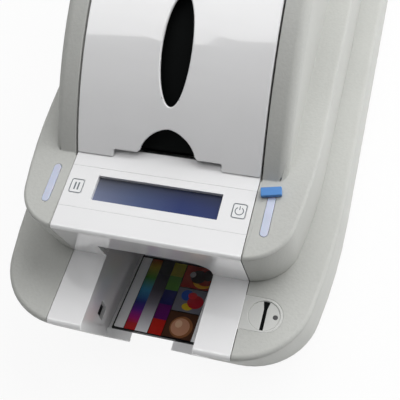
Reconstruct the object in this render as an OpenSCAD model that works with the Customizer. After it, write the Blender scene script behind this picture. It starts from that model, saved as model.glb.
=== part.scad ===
// Desktop printer for plastic identity cards.
// Millimetres. +Z is up, the card exit faces -Y, X = 0 is the middle plane.
// The origin is on the table, under the middle of the case.

/* [Base] */
// Width of the base
body_w = 175; // [172:0.5:182]
// Length of the base from nose to rear wall
body_l = 388; // [386:1:396]
// Height of the tray shoulders above the table
shoulder_h = 64; // [63:0.5:68]
// Height of the rubber feet
foot_h = 3; // [2:0.5:4]
// Wall thickness of the case mouldings
wall = 2.5; // [2:0.1:2.8]
// How far the foot of the front wall sits behind the nose
nose_lean = 20; // [16:0.5:21]
// Rounding of the upper rim of the base
rim_r = 2.5; // [2:0.5:4]
// Radius of the two front corners
nose_r = 39; // [36:1:44]

/* [Deck] */
// Width of the deck that carries the control panel
deck_w = 148; // [144:0.5:152]
// Distance from the nose of the base to the front edge of the deck
deck_back = 34.6; // [34:0.2:36]
// Height of the deck's front edge above the tray shoulders
deck_h = 36; // [35:0.5:39]
// Slope of the deck, rising to the rear, in degrees
deck_slope = 4; // [3.5:0.1:4.5]
// How far the deck's front wall leans back at its foot
deck_lean = 7.5; // [6:0.5:9]
// Rounding of the deck's rim
deck_rim = 2; // [1.5:0.5:3.5]
// Radius of the deck's front corners
deck_r = 24; // [22:1:26]

/* [Hood] */
// Width of the arched hood
hood_w = 122; // [120:0.5:126]
// Distance from the deck's front edge to the foot of the hood
hood_back = 43; // [42.5:0.5:45]
// Radius of the hood's front arch
arch_r = 172; // [170:1:176]
// Angle that the front arch turns through, in degrees
arch_a = 54; // [53:0.5:55]
// Rounding of the hood's long edges
hood_edge = 5; // [4:0.5:6]

/* [Centre band] */
// Width of the glossy band down the middle
band_w = 95.6; // [95:0.2:96.4]
// Gap round the fixed pieces of the band
seam = 0.3; // [0.2:0.05:0.4]
// Length of the fascia's top strip, up to the control panel
strip_l = 12.6; // [12:0.2:13]
// Length of the control panel
panel_l = 23.6; // [23:0.2:24]
// Width of the display opening
lcd_w = 64.5; // [60:0.5:66]
// Height of the display opening
lcd_h = 14; // [12:0.5:15]
// Sideways place of the two keys
key_x = 41.8; // [41:0.2:42]
// Width of a key
key_w = 7; // [6:0.1:7.2]
// Length of a key
key_l = 8; // [7:0.1:8.4]
// Travel of a key
key_travel = 0.8; // [0.5:0.1:1]
// Height of the card mouth above the tray shoulders
mouth_h = 16; // [14:0.5:18]

/* [Front cover] */
// Width of the front cover
cover_w = 96; // [95:0.5:97]
// Skin thickness of the covers
cover_t = 2.4; // [2:0.1:2.8]
// Gap between a cover and the hood's cheeks
cover_gap = 0.9; // [0.7:0.1:1.2]
// Depth of the stiffening ribs along the covers' edges
rib_h = 8; // [6:0.5:9]
// Length of the oval window along the arch
oval_l = 55; // [50:1:58]
// Width of the oval window
oval_w = 15.2; // [13:0.2:18]
// Distance from the foot to the lower end of the oval window
oval_start = 29.7; // [27:0.5:32]
// Half width of the raised middle of the lower edge
step_x = 28.2; // [26:0.2:30]
// Rise of that step
step_h = 4.7; // [4.2:0.1:6]
// Half width of the finger arch in the lower edge
dome_x = 14.5; // [13:0.5:16]
// Height of the finger arch above the step
dome_h = 13.5; // [12:0.5:14]

/* [Output tray] */
// Clear width of the output tray
tray_w = 58.3; // [57:0.1:59.5]
// Distance from the nose to the inner face of the front lip
lip_back = 17.2; // [16.5:0.1:18]
// Depth of the tray floor below the shoulders, at the lip
tray_drop = 38.6; // [37:0.2:39]
// Slope of the tray floor, falling to the rear, in degrees
tray_tilt = 12; // [10:0.5:12]
// Half width of the finger notch at the lip
notch_x = 11.5; // [9:0.5:13]
// How far the finger notch sits to the left of the middle
notch_side = 2.6; // [0:0.2:4]
// How much wider each side of the notch is at the foot
notch_flare = 5; // [4:0.5:7]

/* [Cards] */
// Length of a card
card_l = 85.6; // [85:0.1:86]
// Width of a card
card_w = 53.98; // [53.5:0.02:54.2]
// Thickness of a card
card_t = 0.76; // [0.7:0.02:0.8]
// Finished cards lying in the tray
done_n = 2; // [1:1:6]
// Blank cards waiting in the magazine
blank_n = 24; // [8:1:30]

/* [Card path] */
// Height of the card path above the tray shoulders
path_up = 14; // [13:0.5:15]
// Radius of the rubber rollers
roller_r = 8; // [7:0.25:8.5]
// Radius of the roller shafts
shaft_r = 3; // [2.5:0.25:3.5]
// Radial running clearance of the shafts
run_fit = 0.05; // [0.02:0.01:0.08]
// Distance between the two side frames
frame_gap = 88; // [86:0.5:90]
// Thickness of the side frames
frame_t = 1.5; // [1:0.1:2]
// Rubber length of the rollers
roller_l = 50; // [44:1:54]
// Radius of the belt pulleys
pulley_r = 6.5; // [5.5:0.25:7]
// Width of the belts
belt_w = 5; // [4:0.5:6]
// Thickness of the belts
belt_t = 1.2; // [1:0.1:1.5]

/* [Ribbon] */
// Radius of the wound supply roll
supply_r = 14; // [11:0.5:15]
// Radius of the wound take-up roll
takeup_r = 11; // [9:0.5:14]
// Width of the ribbon
ribbon_w = 60; // [56:1:62]

/* [Lock and lever] */
// Sideways place of the tray lock
lock_x = 59; // [58:0.5:60]
// Distance from the nose to the middle of the tray lock
lock_back = 25.5; // [24:0.5:27]
// Radius of the lock's turning disc
lock_r = 7.7; // [7:0.1:8.2]
// Sideways place of the light strips
light_x = 55.5; // [55:0.1:56]
// Width of the light strips
light_w = 3.8; // [3:0.1:4.2]
// Length of the light strips
light_l = 22; // [18:0.5:22.5]
// Length of the blue lever tab
tab_l = 10.1; // [9:0.1:11]
// Width of the blue lever tab
tab_w = 4.7; // [4.4:0.1:5]
// Rest angle of the blue lever tab, in degrees
tab_turn = 13; // [8:1:15]

/* [Hidden] */
$fn = 48;
eps = 0.01;          // overlap of pieces that are one solid
big = 600;           // longer than anything here
skin = 0.01;         // thickness of the slices that are hulled together

// Colours
shell_grey = "#c6c7c4";
gloss_white = "#e6e7e7";
ink_black = "#0e1010";
steel = "#b8bcc0";
rubber = "#2a2c2e";
tab_blue = "#4a86d0";

// Base
y_nose = -body_l / 2;
y_tail = body_l / 2;
base_side_r = 400;   // very slight bow of the base's sides
base_side_a = 10;
tail_corner = 16;
plate_t = 2;         // bottom plate

// Deck
y_deck = y_nose + deck_back;
z_deck = shoulder_h + deck_h;
y_deck_tail = y_tail - 6;
deck_side_r = 300;
deck_side_a = 10;
y_crease = y_deck + deck_lean;
function deck_z(y) = z_deck + (y - y_deck) * tan(deck_slope);

// Hood: front arch, flat cap and steep tail, all tangent to each other
y_foot = y_deck + hood_back;
arch_y = y_foot + arch_r * sin(arch_a);
arch_z = deck_z(y_foot) - arch_r * cos(arch_a);
cap_r = 420;
cap_a = 12;
tail_r = 55;
tail_a = 80;
cap_z = arch_z + arch_r - cap_r;
tail_y = arch_y + (cap_r - tail_r) * sin(cap_a);
tail_z = cap_z + (cap_r - tail_r) * cos(cap_a);
hood_low = z_deck - 8;
cover_open = cover_w / 2 + cover_gap;

// Covers' hinges
barrel_r = 3.2;
pin_r = 1.5;
hinge_y = arch_y + 1;
hinge_z = arch_z + arch_r - barrel_r - 0.3;
lid_hinge_a = 72;
lid_hinge_y = tail_y + (tail_r - barrel_r - 0.3) * sin(lid_hinge_a);
lid_hinge_z = tail_z + (tail_r - barrel_r - 0.3) * cos(lid_hinge_a);
hinge_clear = 0.6;   // gap between a barrel and the skin beside it
bridge_l = 9;        // hood left standing between the two covers
y_bridge = hinge_y + barrel_r + hinge_clear;
y_lid = y_bridge + bridge_l;
knuckle_gap = 0.4;
cover_end = hinge_y - barrel_r - hinge_clear;
cover_end_a = asin((arch_y - cover_end) / arch_r);
dome_soft = 1.18;    // above 1 the finger arch is more pointed than an ellipse

// Centre band
y_panel = y_deck + strip_l;
y_ramp = y_panel + panel_l;
y_ramp_end = y_foot + 6;
rail_t = 2;
rail_w = 1.6;
key_fit = 0.12;
lcd_y = y_panel + panel_l / 2 + 0.6;

// Output tray
tray_t = 2.2;
y_lip = y_nose + lip_back;
z_tray = shoulder_h - tray_drop;
floor_t = 1.5;
tray_l = card_l + 0.8;
y_tray_end = y_lip + (tray_l + 1) * cos(tray_tilt);
tray_top = shoulder_h + mouth_h + 2;
card_pitch = card_t + 0.04;
lip_h = done_n * card_pitch;
notch_d = 10.5;      // reach of the notch behind the lip

// Card path, rollers and side frames
path_z = shoulder_h + path_up;
roller_gap = 0.3;     // between a roller and the card path
roller_z = path_z - roller_r - roller_gap;
exit_y = y_tray_end + 10.5;
platen_y = exit_y + 40;
feed_y = platen_y + 40;
clean_y = feed_y + 24;
pick_y = clean_y + 34;
idler_r = 5;
idler_z = path_z + card_t + idler_r + roller_gap;
frame_x = frame_gap / 2;
frame_low = foot_h + plate_t;
frame_start = exit_y - 10;
frame_top = path_z + 24;
shaft_end = frame_x + frame_t + 2;
belt_x = frame_x + frame_t + 0.7 + belt_w / 2;
motor_belt_x = belt_x + belt_w + 1.4;
rib_w = 2;

// Motor
motor_s = 42.3;
motor_l = 38;
motor_y = platen_y + 22;
motor_z = foot_h + 35;
motor_pulley_r = 6;
big_pulley_r = 12;

// Ribbon cartridge and print head
takeup_y = platen_y - 22;
takeup_z = path_z + 24;
supply_y = platen_y + 26;
supply_z = path_z + 32;
cheek_r = 16;
cheek_t = 2;
cheek_x = 38;
core_r = 6;
spool_pin_r = 3;
film_t = 0.25;
head_z = path_z + card_t + film_t + 0.15;
head_w = 6;
head_h = 11;
pivot_y = platen_y + 56;
pivot_z = path_z + 13;
pivot_r = 2.5;
arm_t = 3;
arm_x = 33;
arm_z = head_z + 8.4;
arm_h = 5;

// Magazine
mag_fit = 0.3;
mag_t = 1.8;
mag_start = pick_y - 14;
mag_floor = 2;
mag_end = mag_start + card_l + 2 * mag_fit;
mag_top = path_z + 58;
mag_x = card_w / 2 + mag_fit;

// Lock, light strips and lever
lock_y = y_nose + lock_back;
lock_rim = 1.2;
lock_gap = 0.2;
lock_post = 3;
lock_t = 3;
light_end = y_ramp - 1;
light_flange = 1.2;
tab_x = 54.8;
tab_y = y_ramp + 0.1;
tab_lift = 0.5;
tab_t = 2.1;
post_x = tab_x - 1;
post_y = tab_y + 1.4;
post_r = 1.5;
lug_x = 44;
lug_y = y_foot + 17;
arm_low = 7;         // depth of the latch arm's underside below the deck
arm_deep = 2;
finger_w = 2.4;

// Rear
panel_w = 80;
panel_h = 36;
panel_x = -20;
panel_z = 32;
panel_t = 2;
switch_x = -24;
switch_w = 18;
switch_y = y_tail - wall - panel_t - 2;
fan_s = 40;
fan_t = 10;
fan_x = 50;
fan_z = 34;
fan_y = y_tail - wall - fan_t / 2;
board_t = 1.6;
board_z = frame_low + 6;

// ---- Helpers ----

// Points of an arc round (cx, cy), from angle a to angle b in n steps
function arc(cx, cy, r, a, b, n) =
  [for (i = [0:n]) [cx + r * cos(a + (b - a) * i / n), cy + r * sin(a + (b - a) * i / n)]];

// A right half outline closed by its mirror image
function mirrored(p) = concat(p, [for (i = [len(p) - 1:-1:0]) [-p[i][0], p[i][1]]]);

// Outline of a tier: round front corners, slightly bowed sides, small rear corners
function tier(hw, front, rear, rc, rs, as, rr) =
  let (cx = hw - rs + (rs - rc) * cos(as), cy = front + rc, ys = cy + (rs - rc) * sin(as))
  mirrored(concat(arc(cx, cy, rc, -90, -as, 12), arc(hw - rs, ys, rs, -as * 0.75, 0, 3),
                  arc(hw - rr, rear - rr, rr, 0, 90, 6)));

function base_line(i, back) =
  tier(body_w / 2 - i, y_nose + i + back, y_tail - i, nose_r - i, base_side_r - i, base_side_a,
       tail_corner - i);

function deck_line(i, back) =
  tier(deck_w / 2 - i, y_deck + i + back, y_deck_tail - i, deck_r - i, deck_side_r - i, deck_side_a,
       tail_corner - 4 - i);

// The hood's side view, moved inwards by i, closed at height low
function hood_line(i, low) =
  let (front = [for (k = [0:18]) let (a = (arch_a + 3) * (1 - k / 18))
                [arch_y - (arch_r - i) * sin(a), arch_z + (arch_r - i) * cos(a)]],
       cap = [for (k = [1:3]) let (a = cap_a * k / 3)
              [arch_y + (cap_r - i) * sin(a), cap_z + (cap_r - i) * cos(a)]],
       tail = [for (k = [1:8]) let (a = cap_a + (tail_a - cap_a) * k / 8)
               [tail_y + (tail_r - i) * sin(a), tail_z + (tail_r - i) * cos(a)]])
  concat(front, cap, tail, [[tail[7][0], low], [front[0][0], low]]);

// Points along the front arch at depth i, from angle a down to angle b
function arch_run(i, a, b, n) =
  [for (k = [0:n]) let (t = a + (b - a) * k / n)
   [arch_y - (arch_r - i) * sin(t), arch_z + (arch_r - i) * cos(t)]];

// Points along cap and tail at depth i, from distance y on the cap to angle b on the tail
function lid_run(i, y, b, n) =
  let (c = asin((y - arch_y) / (cap_r - i)))
  concat([for (k = [0:n]) let (t = c + (cap_a - c) * k / n)
          [arch_y + (cap_r - i) * sin(t), cap_z + (cap_r - i) * cos(t)]],
         [for (k = [1:2 * n]) let (t = cap_a + (b - cap_a) * k / (2 * n))
          [tail_y + (tail_r - i) * sin(t), tail_z + (tail_r - i) * cos(t)]]);

function reversed(p) = [for (i = [len(p) - 1:-1:0]) p[i]];

// Loop round two circles, as a belt lies
function loop(a, ra, b, rb) =
  let (d = norm(b - a), f = atan2(b[1] - a[1], b[0] - a[0]), g = acos((ra - rb) / d))
  concat(arc(a[0], a[1], ra, f + g, f + 360 - g, 16), arc(b[0], b[1], rb, f - g, f + g, 16));

module slice(points, z) translate([0, 0, z]) linear_extrude(skin) polygon(points);

// A side view (y, z) given width w along X, centred on x
module across(w, x = 0) translate([x, 0, 0]) rotate([90, 0, 90]) linear_extrude(w, center = true) children();

// Local frame of the deck's sloping top: h above the top, y measured as on the level
module on_deck(h = 0)
  translate([0, y_deck, z_deck]) rotate([deck_slope, 0, 0]) translate([0, -y_deck, h]) children();

// Local frame of the tray floor: y = 0 at the lip, running down to the rear
module on_floor(h = 0) translate([0, y_lip, z_tray]) rotate([-tray_tilt, 0, 0]) translate([0, 0, h]) children();

// Local frame on the front arch, s millimetres above its foot, z pointing outwards
module on_arch(s)
  let (a = arch_a - s / arch_r * 180 / PI)
  translate([0, arch_y - arch_r * sin(a), arch_z + arch_r * cos(a)]) rotate([a, 0, 0]) children();

module block(w, l, h, at) translate([at[0] - w / 2, at[1] - l / 2, at[2]]) cube([w, l, h]);

// Round bar along X between two places
module bar(r, x0, x1, y, z) translate([x0, y, z]) rotate([0, 90, 0]) cylinder(r = r, h = x1 - x0);

module pill(w, l, h) {
  block(w, l - w, h, [0, 0, 0]);
  for (y = [-1, 1]) translate([0, y * (l - w) / 2, 0]) cylinder(d = w, h = h);
}

// A rectangle with round corners
module soft_plate(w, l, h, r)
  union() {
    block(w - 2 * r, l, h, [0, 0, 0]);
    block(w, l - 2 * r, h, [0, 0, 0]);
    for (x = [-1, 1], y = [-1, 1]) translate([x * (w / 2 - r), y * (l / 2 - r), 0]) cylinder(r = r, h = h);
  }

// ---- Case volumes ----

// The base as a full volume, moved inwards by i; open downwards when i is not 0
module base_solid(i = 0)
  hull() {
    slice(base_line(i, nose_lean), i == 0 ? foot_h : foot_h - 1);
    for (a = [0:30:90])
      let (r = max(rim_r - i, 0.5))
      slice(base_line(i + r * (1 - cos(a)), 0), shoulder_h - i - r + r * sin(a) - skin);
  }

// The deck as a full volume, moved inwards by i; its inside reaches below the foot
module deck_solid(i = 0)
  hull() {
    slice(deck_line(i, deck_lean), i == 0 ? shoulder_h : shoulder_h - 1);
    for (a = [0:30:90])
      let (r = max(deck_rim - i, 0.5))
      on_deck(-i - r + r * sin(a) - skin) linear_extrude(skin) polygon(deck_line(i + r * (1 - cos(a)), 0));
  }

// The hood as a full volume, moved inwards by i, closed at height low
module hood_solid(i = 0, low = hood_low)
  hull()
    for (s = [-1, 1], a = [0:22.5:90])
      let (e = max(hood_edge - i, 0.5))
      across(skin, s * (hood_w / 2 - i - e + e * sin(a) - skin)) polygon(hood_line(i + e * (1 - cos(a)), low));

// ---- Base ----

notch_top = z_tray + lip_h + 1;

module notch_cut(grow = 0)
  translate([-notch_side, y_lip + notch_d + grow, 0]) rotate([90, 0, 0])
    linear_extrude(lip_back + notch_d + grow + 5)
      polygon([[-notch_x - grow, notch_top], [notch_x + grow, notch_top],
               [notch_x + notch_flare + grow, 0], [-notch_x - notch_flare - grow, 0]]);

module lower_case()
  color(shell_grey)
    difference() {
      union() {
        difference() {
          base_solid();
          base_solid(wall);
        }
        screw_places() translate([0, 0, frame_low]) cylinder(r = 4, h = shoulder_h - wall - frame_low + eps);
      }
      screw_places() translate([0, 0, frame_low - 1]) cylinder(r = 1.6, h = 14);
      // under the deck the top is open
      translate([0, 0, shoulder_h - 2 * wall]) linear_extrude(3 * wall) polygon(deck_line(8, deck_lean));
      // room for the tray liner
      translate([-band_w / 2 - seam, y_nose - 1, shoulder_h - rim_r - seam])
        cube([band_w + 2 * seam, y_crease - y_nose + 12, rim_r + 1]);
      block(tray_w + 2 * tray_t + 2 * seam, 40, shoulder_h, [0, y_nose + 15, z_tray - floor_t - seam]);
      notch_cut();
      translate([lock_x, lock_y, shoulder_h - 2 * wall]) cylinder(r = lock_r + lock_rim + seam, h = 3 * wall);
      translate([band_w / 2 + seam - eps, lock_y - lock_r - lock_rim - seam, shoulder_h - 2 * wall])
        cube([lock_x - band_w / 2 - seam + eps, 2 * (lock_r + lock_rim + seam), 3 * wall]);
      // rear panel and fan
      block(panel_w - 6, 20, panel_h - 6, [panel_x, y_tail, panel_z - panel_h / 2 + 3]);
      for (k = [-3:3]) block(fan_s - 6 - abs(k) * 3, 20, 2.2, [fan_x, y_tail, fan_z + k * 4.6 - 1.1]);
    }

module screw_places()
  for (x = [-1, 1], y = [y_nose + 58, y_tail - 18]) translate([x * (body_w / 2 - 22), y, 0]) children();

module bottom_plate()
  color(shell_grey)
    difference() {
      translate([0, 0, foot_h]) linear_extrude(plate_t) polygon(base_line(wall + seam, nose_lean));
      notch_cut(tray_t + seam);
      screw_places() translate([0, 0, foot_h - 1]) cylinder(r = 1.7, h = plate_t + 2);
      for (k = [-4:4]) block(60, 2.4, plate_t + 2, [0, 70 + k * 7, foot_h - 1]);
    }

module rubber_feet()
  color(rubber)
    for (x = [-1, 1], y = [y_nose + 44, y_tail - 36])
      translate([x * (body_w / 2 - 24), y, 0]) {
        cylinder(r = 7.5, h = foot_h - 1);
        translate([0, 0, foot_h - 1 - eps]) cylinder(r = 6.6, h = 1 + eps);
      }

module case_screws()
  color(steel)
    screw_places()
      difference() {
        union() {
          translate([0, 0, foot_h - 1.6]) cylinder(r = 2.9, h = 1.6);
          translate([0, 0, foot_h - eps]) cylinder(r = 1.5, h = 9);
        }
        for (a = [0, 90]) rotate(a) block(3.4, 0.8, 1.2, [0, 0, foot_h - 2]);
      }

// ---- Output tray ----

// Everything under the tray floor
module under_floor() on_floor(-floor_t / 2 - 100) translate([-60, -40, 0]) cube([120, 200, 100]);

module shoulder(s)
  difference() {
    translate([s > 0 ? tray_w / 2 : -band_w / 2, y_nose - 1, shoulder_h - rim_r])
      cube([(band_w - tray_w) / 2, y_crease - y_nose + 11, rim_r + 1]);
    translate([s > 0 ? tray_w / 2 - 1 : -band_w / 2 + tray_t, y_nose + tray_t + 1.5, 0])
      cube([(band_w - tray_w) / 2 + 1 - tray_t, body_l, shoulder_h - tray_t]);
  }

module tray_wall(s)
  across(tray_t, s * (tray_w + tray_t) / 2)
    polygon([[y_lip - eps, shoulder_h - eps], [y_lip - eps, z_tray - floor_t],
             [y_tray_end, z_tray - floor_t - (y_tray_end - y_lip) * tan(tray_tilt)],
             [y_tray_end, tray_top], [y_crease + wall + 0.4 - deck_lean * (tray_top - shoulder_h) / deck_h, tray_top],
             [y_crease + wall + 0.4, shoulder_h - eps]]);

module tray_liner()
  color(gloss_white)
    difference() {
      union() {
        // shoulders and front lip share the case's outer surface
        intersection() {
          base_solid();
          union() {
            for (s = [-1, 1]) {
              shoulder(s);
              translate([s > 0 ? tray_w / 2 : -tray_w / 2 - tray_t, y_nose - 1, z_tray - floor_t])
                cube([tray_t, y_lip - y_nose + 1, tray_drop + floor_t]);
            }
            translate([-tray_w / 2 - eps, y_nose, z_tray - floor_t])
              cube([tray_w + 2 * eps, y_lip - y_nose, floor_t + lip_h]);
          }
        }
        for (s = [-1, 1]) tray_wall(s);
        translate([-tray_w / 2 - tray_t, y_tray_end, frame_low]) cube([tray_w + 2 * tray_t, tray_t, tray_top - frame_low - 6]);
        intersection() {
          on_floor(-floor_t) translate([-tray_w / 2 - eps, -2, 0]) cube([tray_w + 2 * eps, tray_l + 4, floor_t]);
          translate([-50, y_lip - eps, 0]) cube([100, y_tray_end - y_lip + 2 * eps, 50]);
        }
        // pocket behind the finger notch
        intersection() {
          notch_cut(tray_t);
          base_solid(wall + seam);
          translate([-50, y_nose, frame_low]) cube([100, 60, 60]);
          under_floor();
        }
      }
      notch_cut();
      translate([-50, y_lip - 1.2, shoulder_h - 25.5]) cube([50, 7.7, 9.3]);
    }

module tray_sensor()
  color(ink_black)
    difference() {
      translate([-tray_w / 2 - tray_t - 5, y_lip - 2, shoulder_h - 27]) cube([5, 10, 12]);
      translate([-tray_w / 2 - tray_t - 2, y_lip - 0.2, shoulder_h - 24.5]) cube([3, 5.5, 7]);
    }

module finished_cards()
  color(ink_black)
    for (k = [0:done_n - 1])
      on_floor(k * card_pitch) translate([-card_w / 2, 0.5, 0]) cube([card_w, card_l, card_t]);

// ---- Upper case ----

// Fixed or moving knuckles of a hinge: barrels with a tongue of height h towards dir
module knuckles(xs, y, z, dir, drop = 0)
  for (x = xs)
    difference() {
      union() {
        bar(barrel_r, x[0], x[1], y, z);
        if (dir != 0) translate([x[0], dir > 0 ? y : y - barrel_r - hinge_clear - 2, z + barrel_r - cover_t])
          cube([x[1] - x[0], barrel_r + hinge_clear + 2, cover_t]);
        if (drop > 0) translate([x[0], y - barrel_r, z - drop]) cube([x[1] - x[0], 2 * barrel_r, drop]);
      }
      bar(pin_r + run_fit, x[0] - 1, x[1] + 1, y, z);
    }

fixed_x = [[-46, -40.4], [-19.6, 19.6], [40.4, 46]];
moving_x = [[-40, -20], [20, 40]];

module light_places() for (s = [-1, 1]) translate([s * light_x, light_end - light_l / 2, 0]) children();

module upper_case()
  color(shell_grey) {
    difference() {
      union() {
        deck_solid();
        hood_solid();
      }
      deck_solid(wall);
      hood_solid(wall, shoulder_h);
      // centre band in front of the hood
      translate([-band_w / 2 - seam, y_deck - 10, 0]) cube([band_w + 2 * seam, y_foot - y_deck + 20, big]);
      // front cover and hopper lid
      translate([-cover_open, y_foot - 1, z_deck - 12]) cube([2 * cover_open, y_bridge - y_foot + 1, big]);
      translate([-cover_open, y_lid, lid_hinge_z - barrel_r - 0.8]) cube([2 * cover_open, big, big]);
      on_deck(-10) light_places() pill(light_w + 2 * key_fit, light_l + 2 * key_fit, 20);
      on_deck(-10) translate([post_x, post_y, 0]) cylinder(r = post_r + run_fit, h = 20);
      for (k = [-4:4]) on_deck(-10) block(1.6, 22, 20, [k * 7, y_deck_tail - 18, 0]);
    }
    // rails under the band
    for (s = [-1, 1])
      on_deck(-wall - rail_t)
        translate([s > 0 ? band_w / 2 - rail_w : -band_w / 2 - seam - 3, y_deck + 4, 0])
          cube([rail_w + seam + 3, y_ramp_end - y_deck - 5, rail_t]);
    // inner walls of the cheeks
    for (s = [-1, 1])
      difference() {
        across(rib_w, s * (cover_open + rib_w / 2)) polygon(hood_line(wall - 0.6, z_deck + 0.3));
        translate([-100, y_foot - 30, 0]) cube([200, 30 + 1.5, big]);
      }
    knuckles(fixed_x, hinge_y, hinge_z, 1);
    knuckles(fixed_x, lid_hinge_y, lid_hinge_z, 0, 12);
  }

// ---- Centre band ----

module band_shell(from, to)
  intersection() {
    difference() {
      deck_solid();
      deck_solid(wall);
    }
    translate([-band_w / 2, from, 0]) cube([band_w, to - from, big]);
  }

module front_fascia()
  color(gloss_white)
    difference() {
      band_shell(y_deck - 5, y_panel);
      // card mouth: one square and one round upper corner
      translate([0, y_crease + 20, shoulder_h]) rotate([90, 0, 0])
        linear_extrude(40)
          polygon(concat([[-tray_w / 2, -1], [-tray_w / 2, mouth_h]],
                         reversed(arc(tray_w / 2 - 11, mouth_h - 11, 11, 0, 90, 10)), [[tray_w / 2, -1]]));
    }

module key_places(s, r = 1.2, w = key_w, l = key_l, h = 10)
  translate([s * key_x, y_panel + panel_l / 2, 0]) soft_plate(w, l, h, r);

module control_panel()
  color(gloss_white)
    difference() {
      band_shell(y_panel + 0.15, y_ramp - 0.1);
      on_deck(-8) block(lcd_w, lcd_h, 20, [0, lcd_y, 0]);
      for (s = [-1, 1]) on_deck(-8) key_places(s, 1.2, key_w + 2 * key_fit, key_l + 2 * key_fit, 20);
    }

module panel_ramp()
  color(gloss_white) band_shell(y_ramp + 0.1, y_ramp_end);

module display_window()
  color("#2a3768")
    on_deck(-wall) {
      block(lcd_w - 0.2, lcd_h - 0.2, 0.5 + eps, [0, lcd_y, -eps]);
      block(lcd_w + 6, lcd_h + 5, 1, [0, lcd_y, -1]);
    }

module display_module()
  color("#2f6b45")
    on_deck(-wall - 1) {
      block(band_w - 2 * rail_w - 1, 20, 1.6 + eps, [0, y_panel + panel_l / 2, -6.5]);
      block(lcd_w + 5, lcd_h + 4, 4.9, [0, lcd_y, -4.9]);
      for (s = [-1, 1]) block(4, 5, 4.9 - key_travel - 0.2, [s * (key_x - 0.6), y_panel + panel_l / 2, -4.9]);
    }

module key(s)
  on_deck(-wall - 0.8) {
    translate([0, 0, 0.8]) key_places(s, 1.1, key_w, key_l, wall);
    key_places(s, 1.1, key_w + 1, key_l + 1, 0.7);
    translate([0, 0, 0.7 - eps]) key_places(s, 1.1, key_w, key_l, 0.2);
  }

module pause_key() color(gloss_white) key(-1);

module power_key() color(gloss_white) key(1);

module light_strips()
  color("#c3cbe0")
    on_deck(-wall - light_flange)
      light_places() {
        pill(light_w, light_l, wall + light_flange + 0.1);
        pill(light_w + 2, light_l + 2, light_flange);
      }

// ---- Tray lock ----

module lock_seat()
  color(shell_grey)
    difference() {
      union() {
        translate([lock_x, lock_y, shoulder_h - 8]) cylinder(r = lock_r + lock_rim, h = 8);
        translate([band_w / 2 + seam, lock_y - lock_r - lock_rim, shoulder_h - wall])
          cube([lock_x - band_w / 2 - seam, 2 * (lock_r + lock_rim), wall]);
        translate([lock_x, lock_y, shoulder_h - 8]) cylinder(r = lock_r + lock_rim + 2, h = 8 - wall - seam);
      }
      translate([lock_x, lock_y, shoulder_h - 5]) cylinder(r = lock_r + lock_gap, h = 10);
      translate([lock_x, lock_y, shoulder_h - 10]) cylinder(r = lock_post + run_fit, h = 10);
    }

module lock_dial()
  color(shell_grey)
    translate([lock_x, lock_y, 0])
      difference() {
        union() {
          translate([0, 0, shoulder_h - 0.4 - lock_t]) cylinder(r = lock_r, h = lock_t);
          translate([0, 0, shoulder_h - 11]) cylinder(r = lock_post, h = 11 - lock_t);
        }
        translate([0, 0, shoulder_h - 2.6])
          linear_extrude(4)
            polygon([[-0.85, -lock_r], [0.85, -lock_r], [0.85, 3.6], [1.7, lock_r], [-1.7, lock_r], [-0.85, 3.6]]);
        translate([5.5, 0.2, shoulder_h - 1]) cylinder(r = 1.25, h = 4);
      }

// ---- Release lever ----

module release_tab()
  color(tab_blue)
    on_deck(tab_lift) {
      translate([tab_x, tab_y, 0]) rotate(tab_turn) soft_plate(tab_l, tab_w, tab_t, 0.6);
      translate([post_x, post_y, -tab_lift - arm_low + 0.5]) cylinder(r = post_r, h = tab_lift + arm_low);
    }

module latch_arm()
  color(steel)
    on_deck(-arm_low)
      difference() {
        union() {
          translate([post_x, post_y, 0]) cylinder(r = 3.4, h = arm_deep);
          block(3, lug_y + finger_w / 2 - post_y, arm_deep, [post_x, (lug_y + finger_w / 2 + post_y) / 2, 0]);
          block(post_x + 1.5 - lug_x, finger_w, arm_deep, [(post_x + 1.5 + lug_x) / 2, lug_y, 0]);
        }
        translate([post_x, post_y, 0.5 - eps]) cylinder(r = post_r + 0.02, h = 5);
      }

// ---- Front cover ----

module oval(w, l, h)
  linear_extrude(h) polygon([for (k = [0:47]) [w / 2 * cos(k * 7.5), l / 2 * sin(k * 7.5)]]);

// The step and the finger arch in the cover's lower edge, drawn on the arch's tangent at the foot
function edge_cut() =
  concat([[-step_x, -5], [-step_x, step_h], [-dome_x - 1.2, step_h]],
         [for (k = [1:19])
          let (a = 180 - k * 9)
          [dome_x * sign(cos(a)) * pow(abs(cos(a)), dome_soft), step_h + dome_h * pow(sin(a), dome_soft)]],
         [[dome_x + 1.2, step_h], [step_x, step_h], [step_x, -5]]);

module front_cover()
  color(gloss_white)
    difference() {
      union() {
        across(cover_w) polygon(concat(arch_run(0, arch_a + 1, cover_end_a, 18), arch_run(cover_t, cover_end_a, arch_a + 1, 18)));
        for (s = [-1, 1])
          across(rib_w, s * (cover_w - rib_w) / 2)
            polygon(concat(arch_run(1, arch_a + 1, 3, 12), arch_run(rib_h, 3, arch_a + 1, 12)));
        knuckles(moving_x, hinge_y, hinge_z, -1);
        // latch lug on the right rib
        translate([lug_x, lug_y - 4, deck_z(lug_y) - arm_low - 2])
          cube([cover_w / 2 - lug_x, 8, arm_low + 11]);
      }
      // the foot clears the ramp
      on_deck(0.4 - 20) block(cover_w + 2, 30, 20, [0, y_foot - 6, 0]);
      on_arch(step_h) translate([0, -step_h, -30]) linear_extrude(60) polygon(edge_cut());
      on_arch(oval_start + oval_l / 2) translate([0, 0, -8]) oval(oval_w, oval_l, 16);
      // hook that the latch arm's finger holds down
      on_deck(-arm_low - 0.5) block(10, 20, arm_deep + 1, [lug_x, lug_y + 10 - finger_w / 2 - 0.5, 0]);
    }

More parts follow.
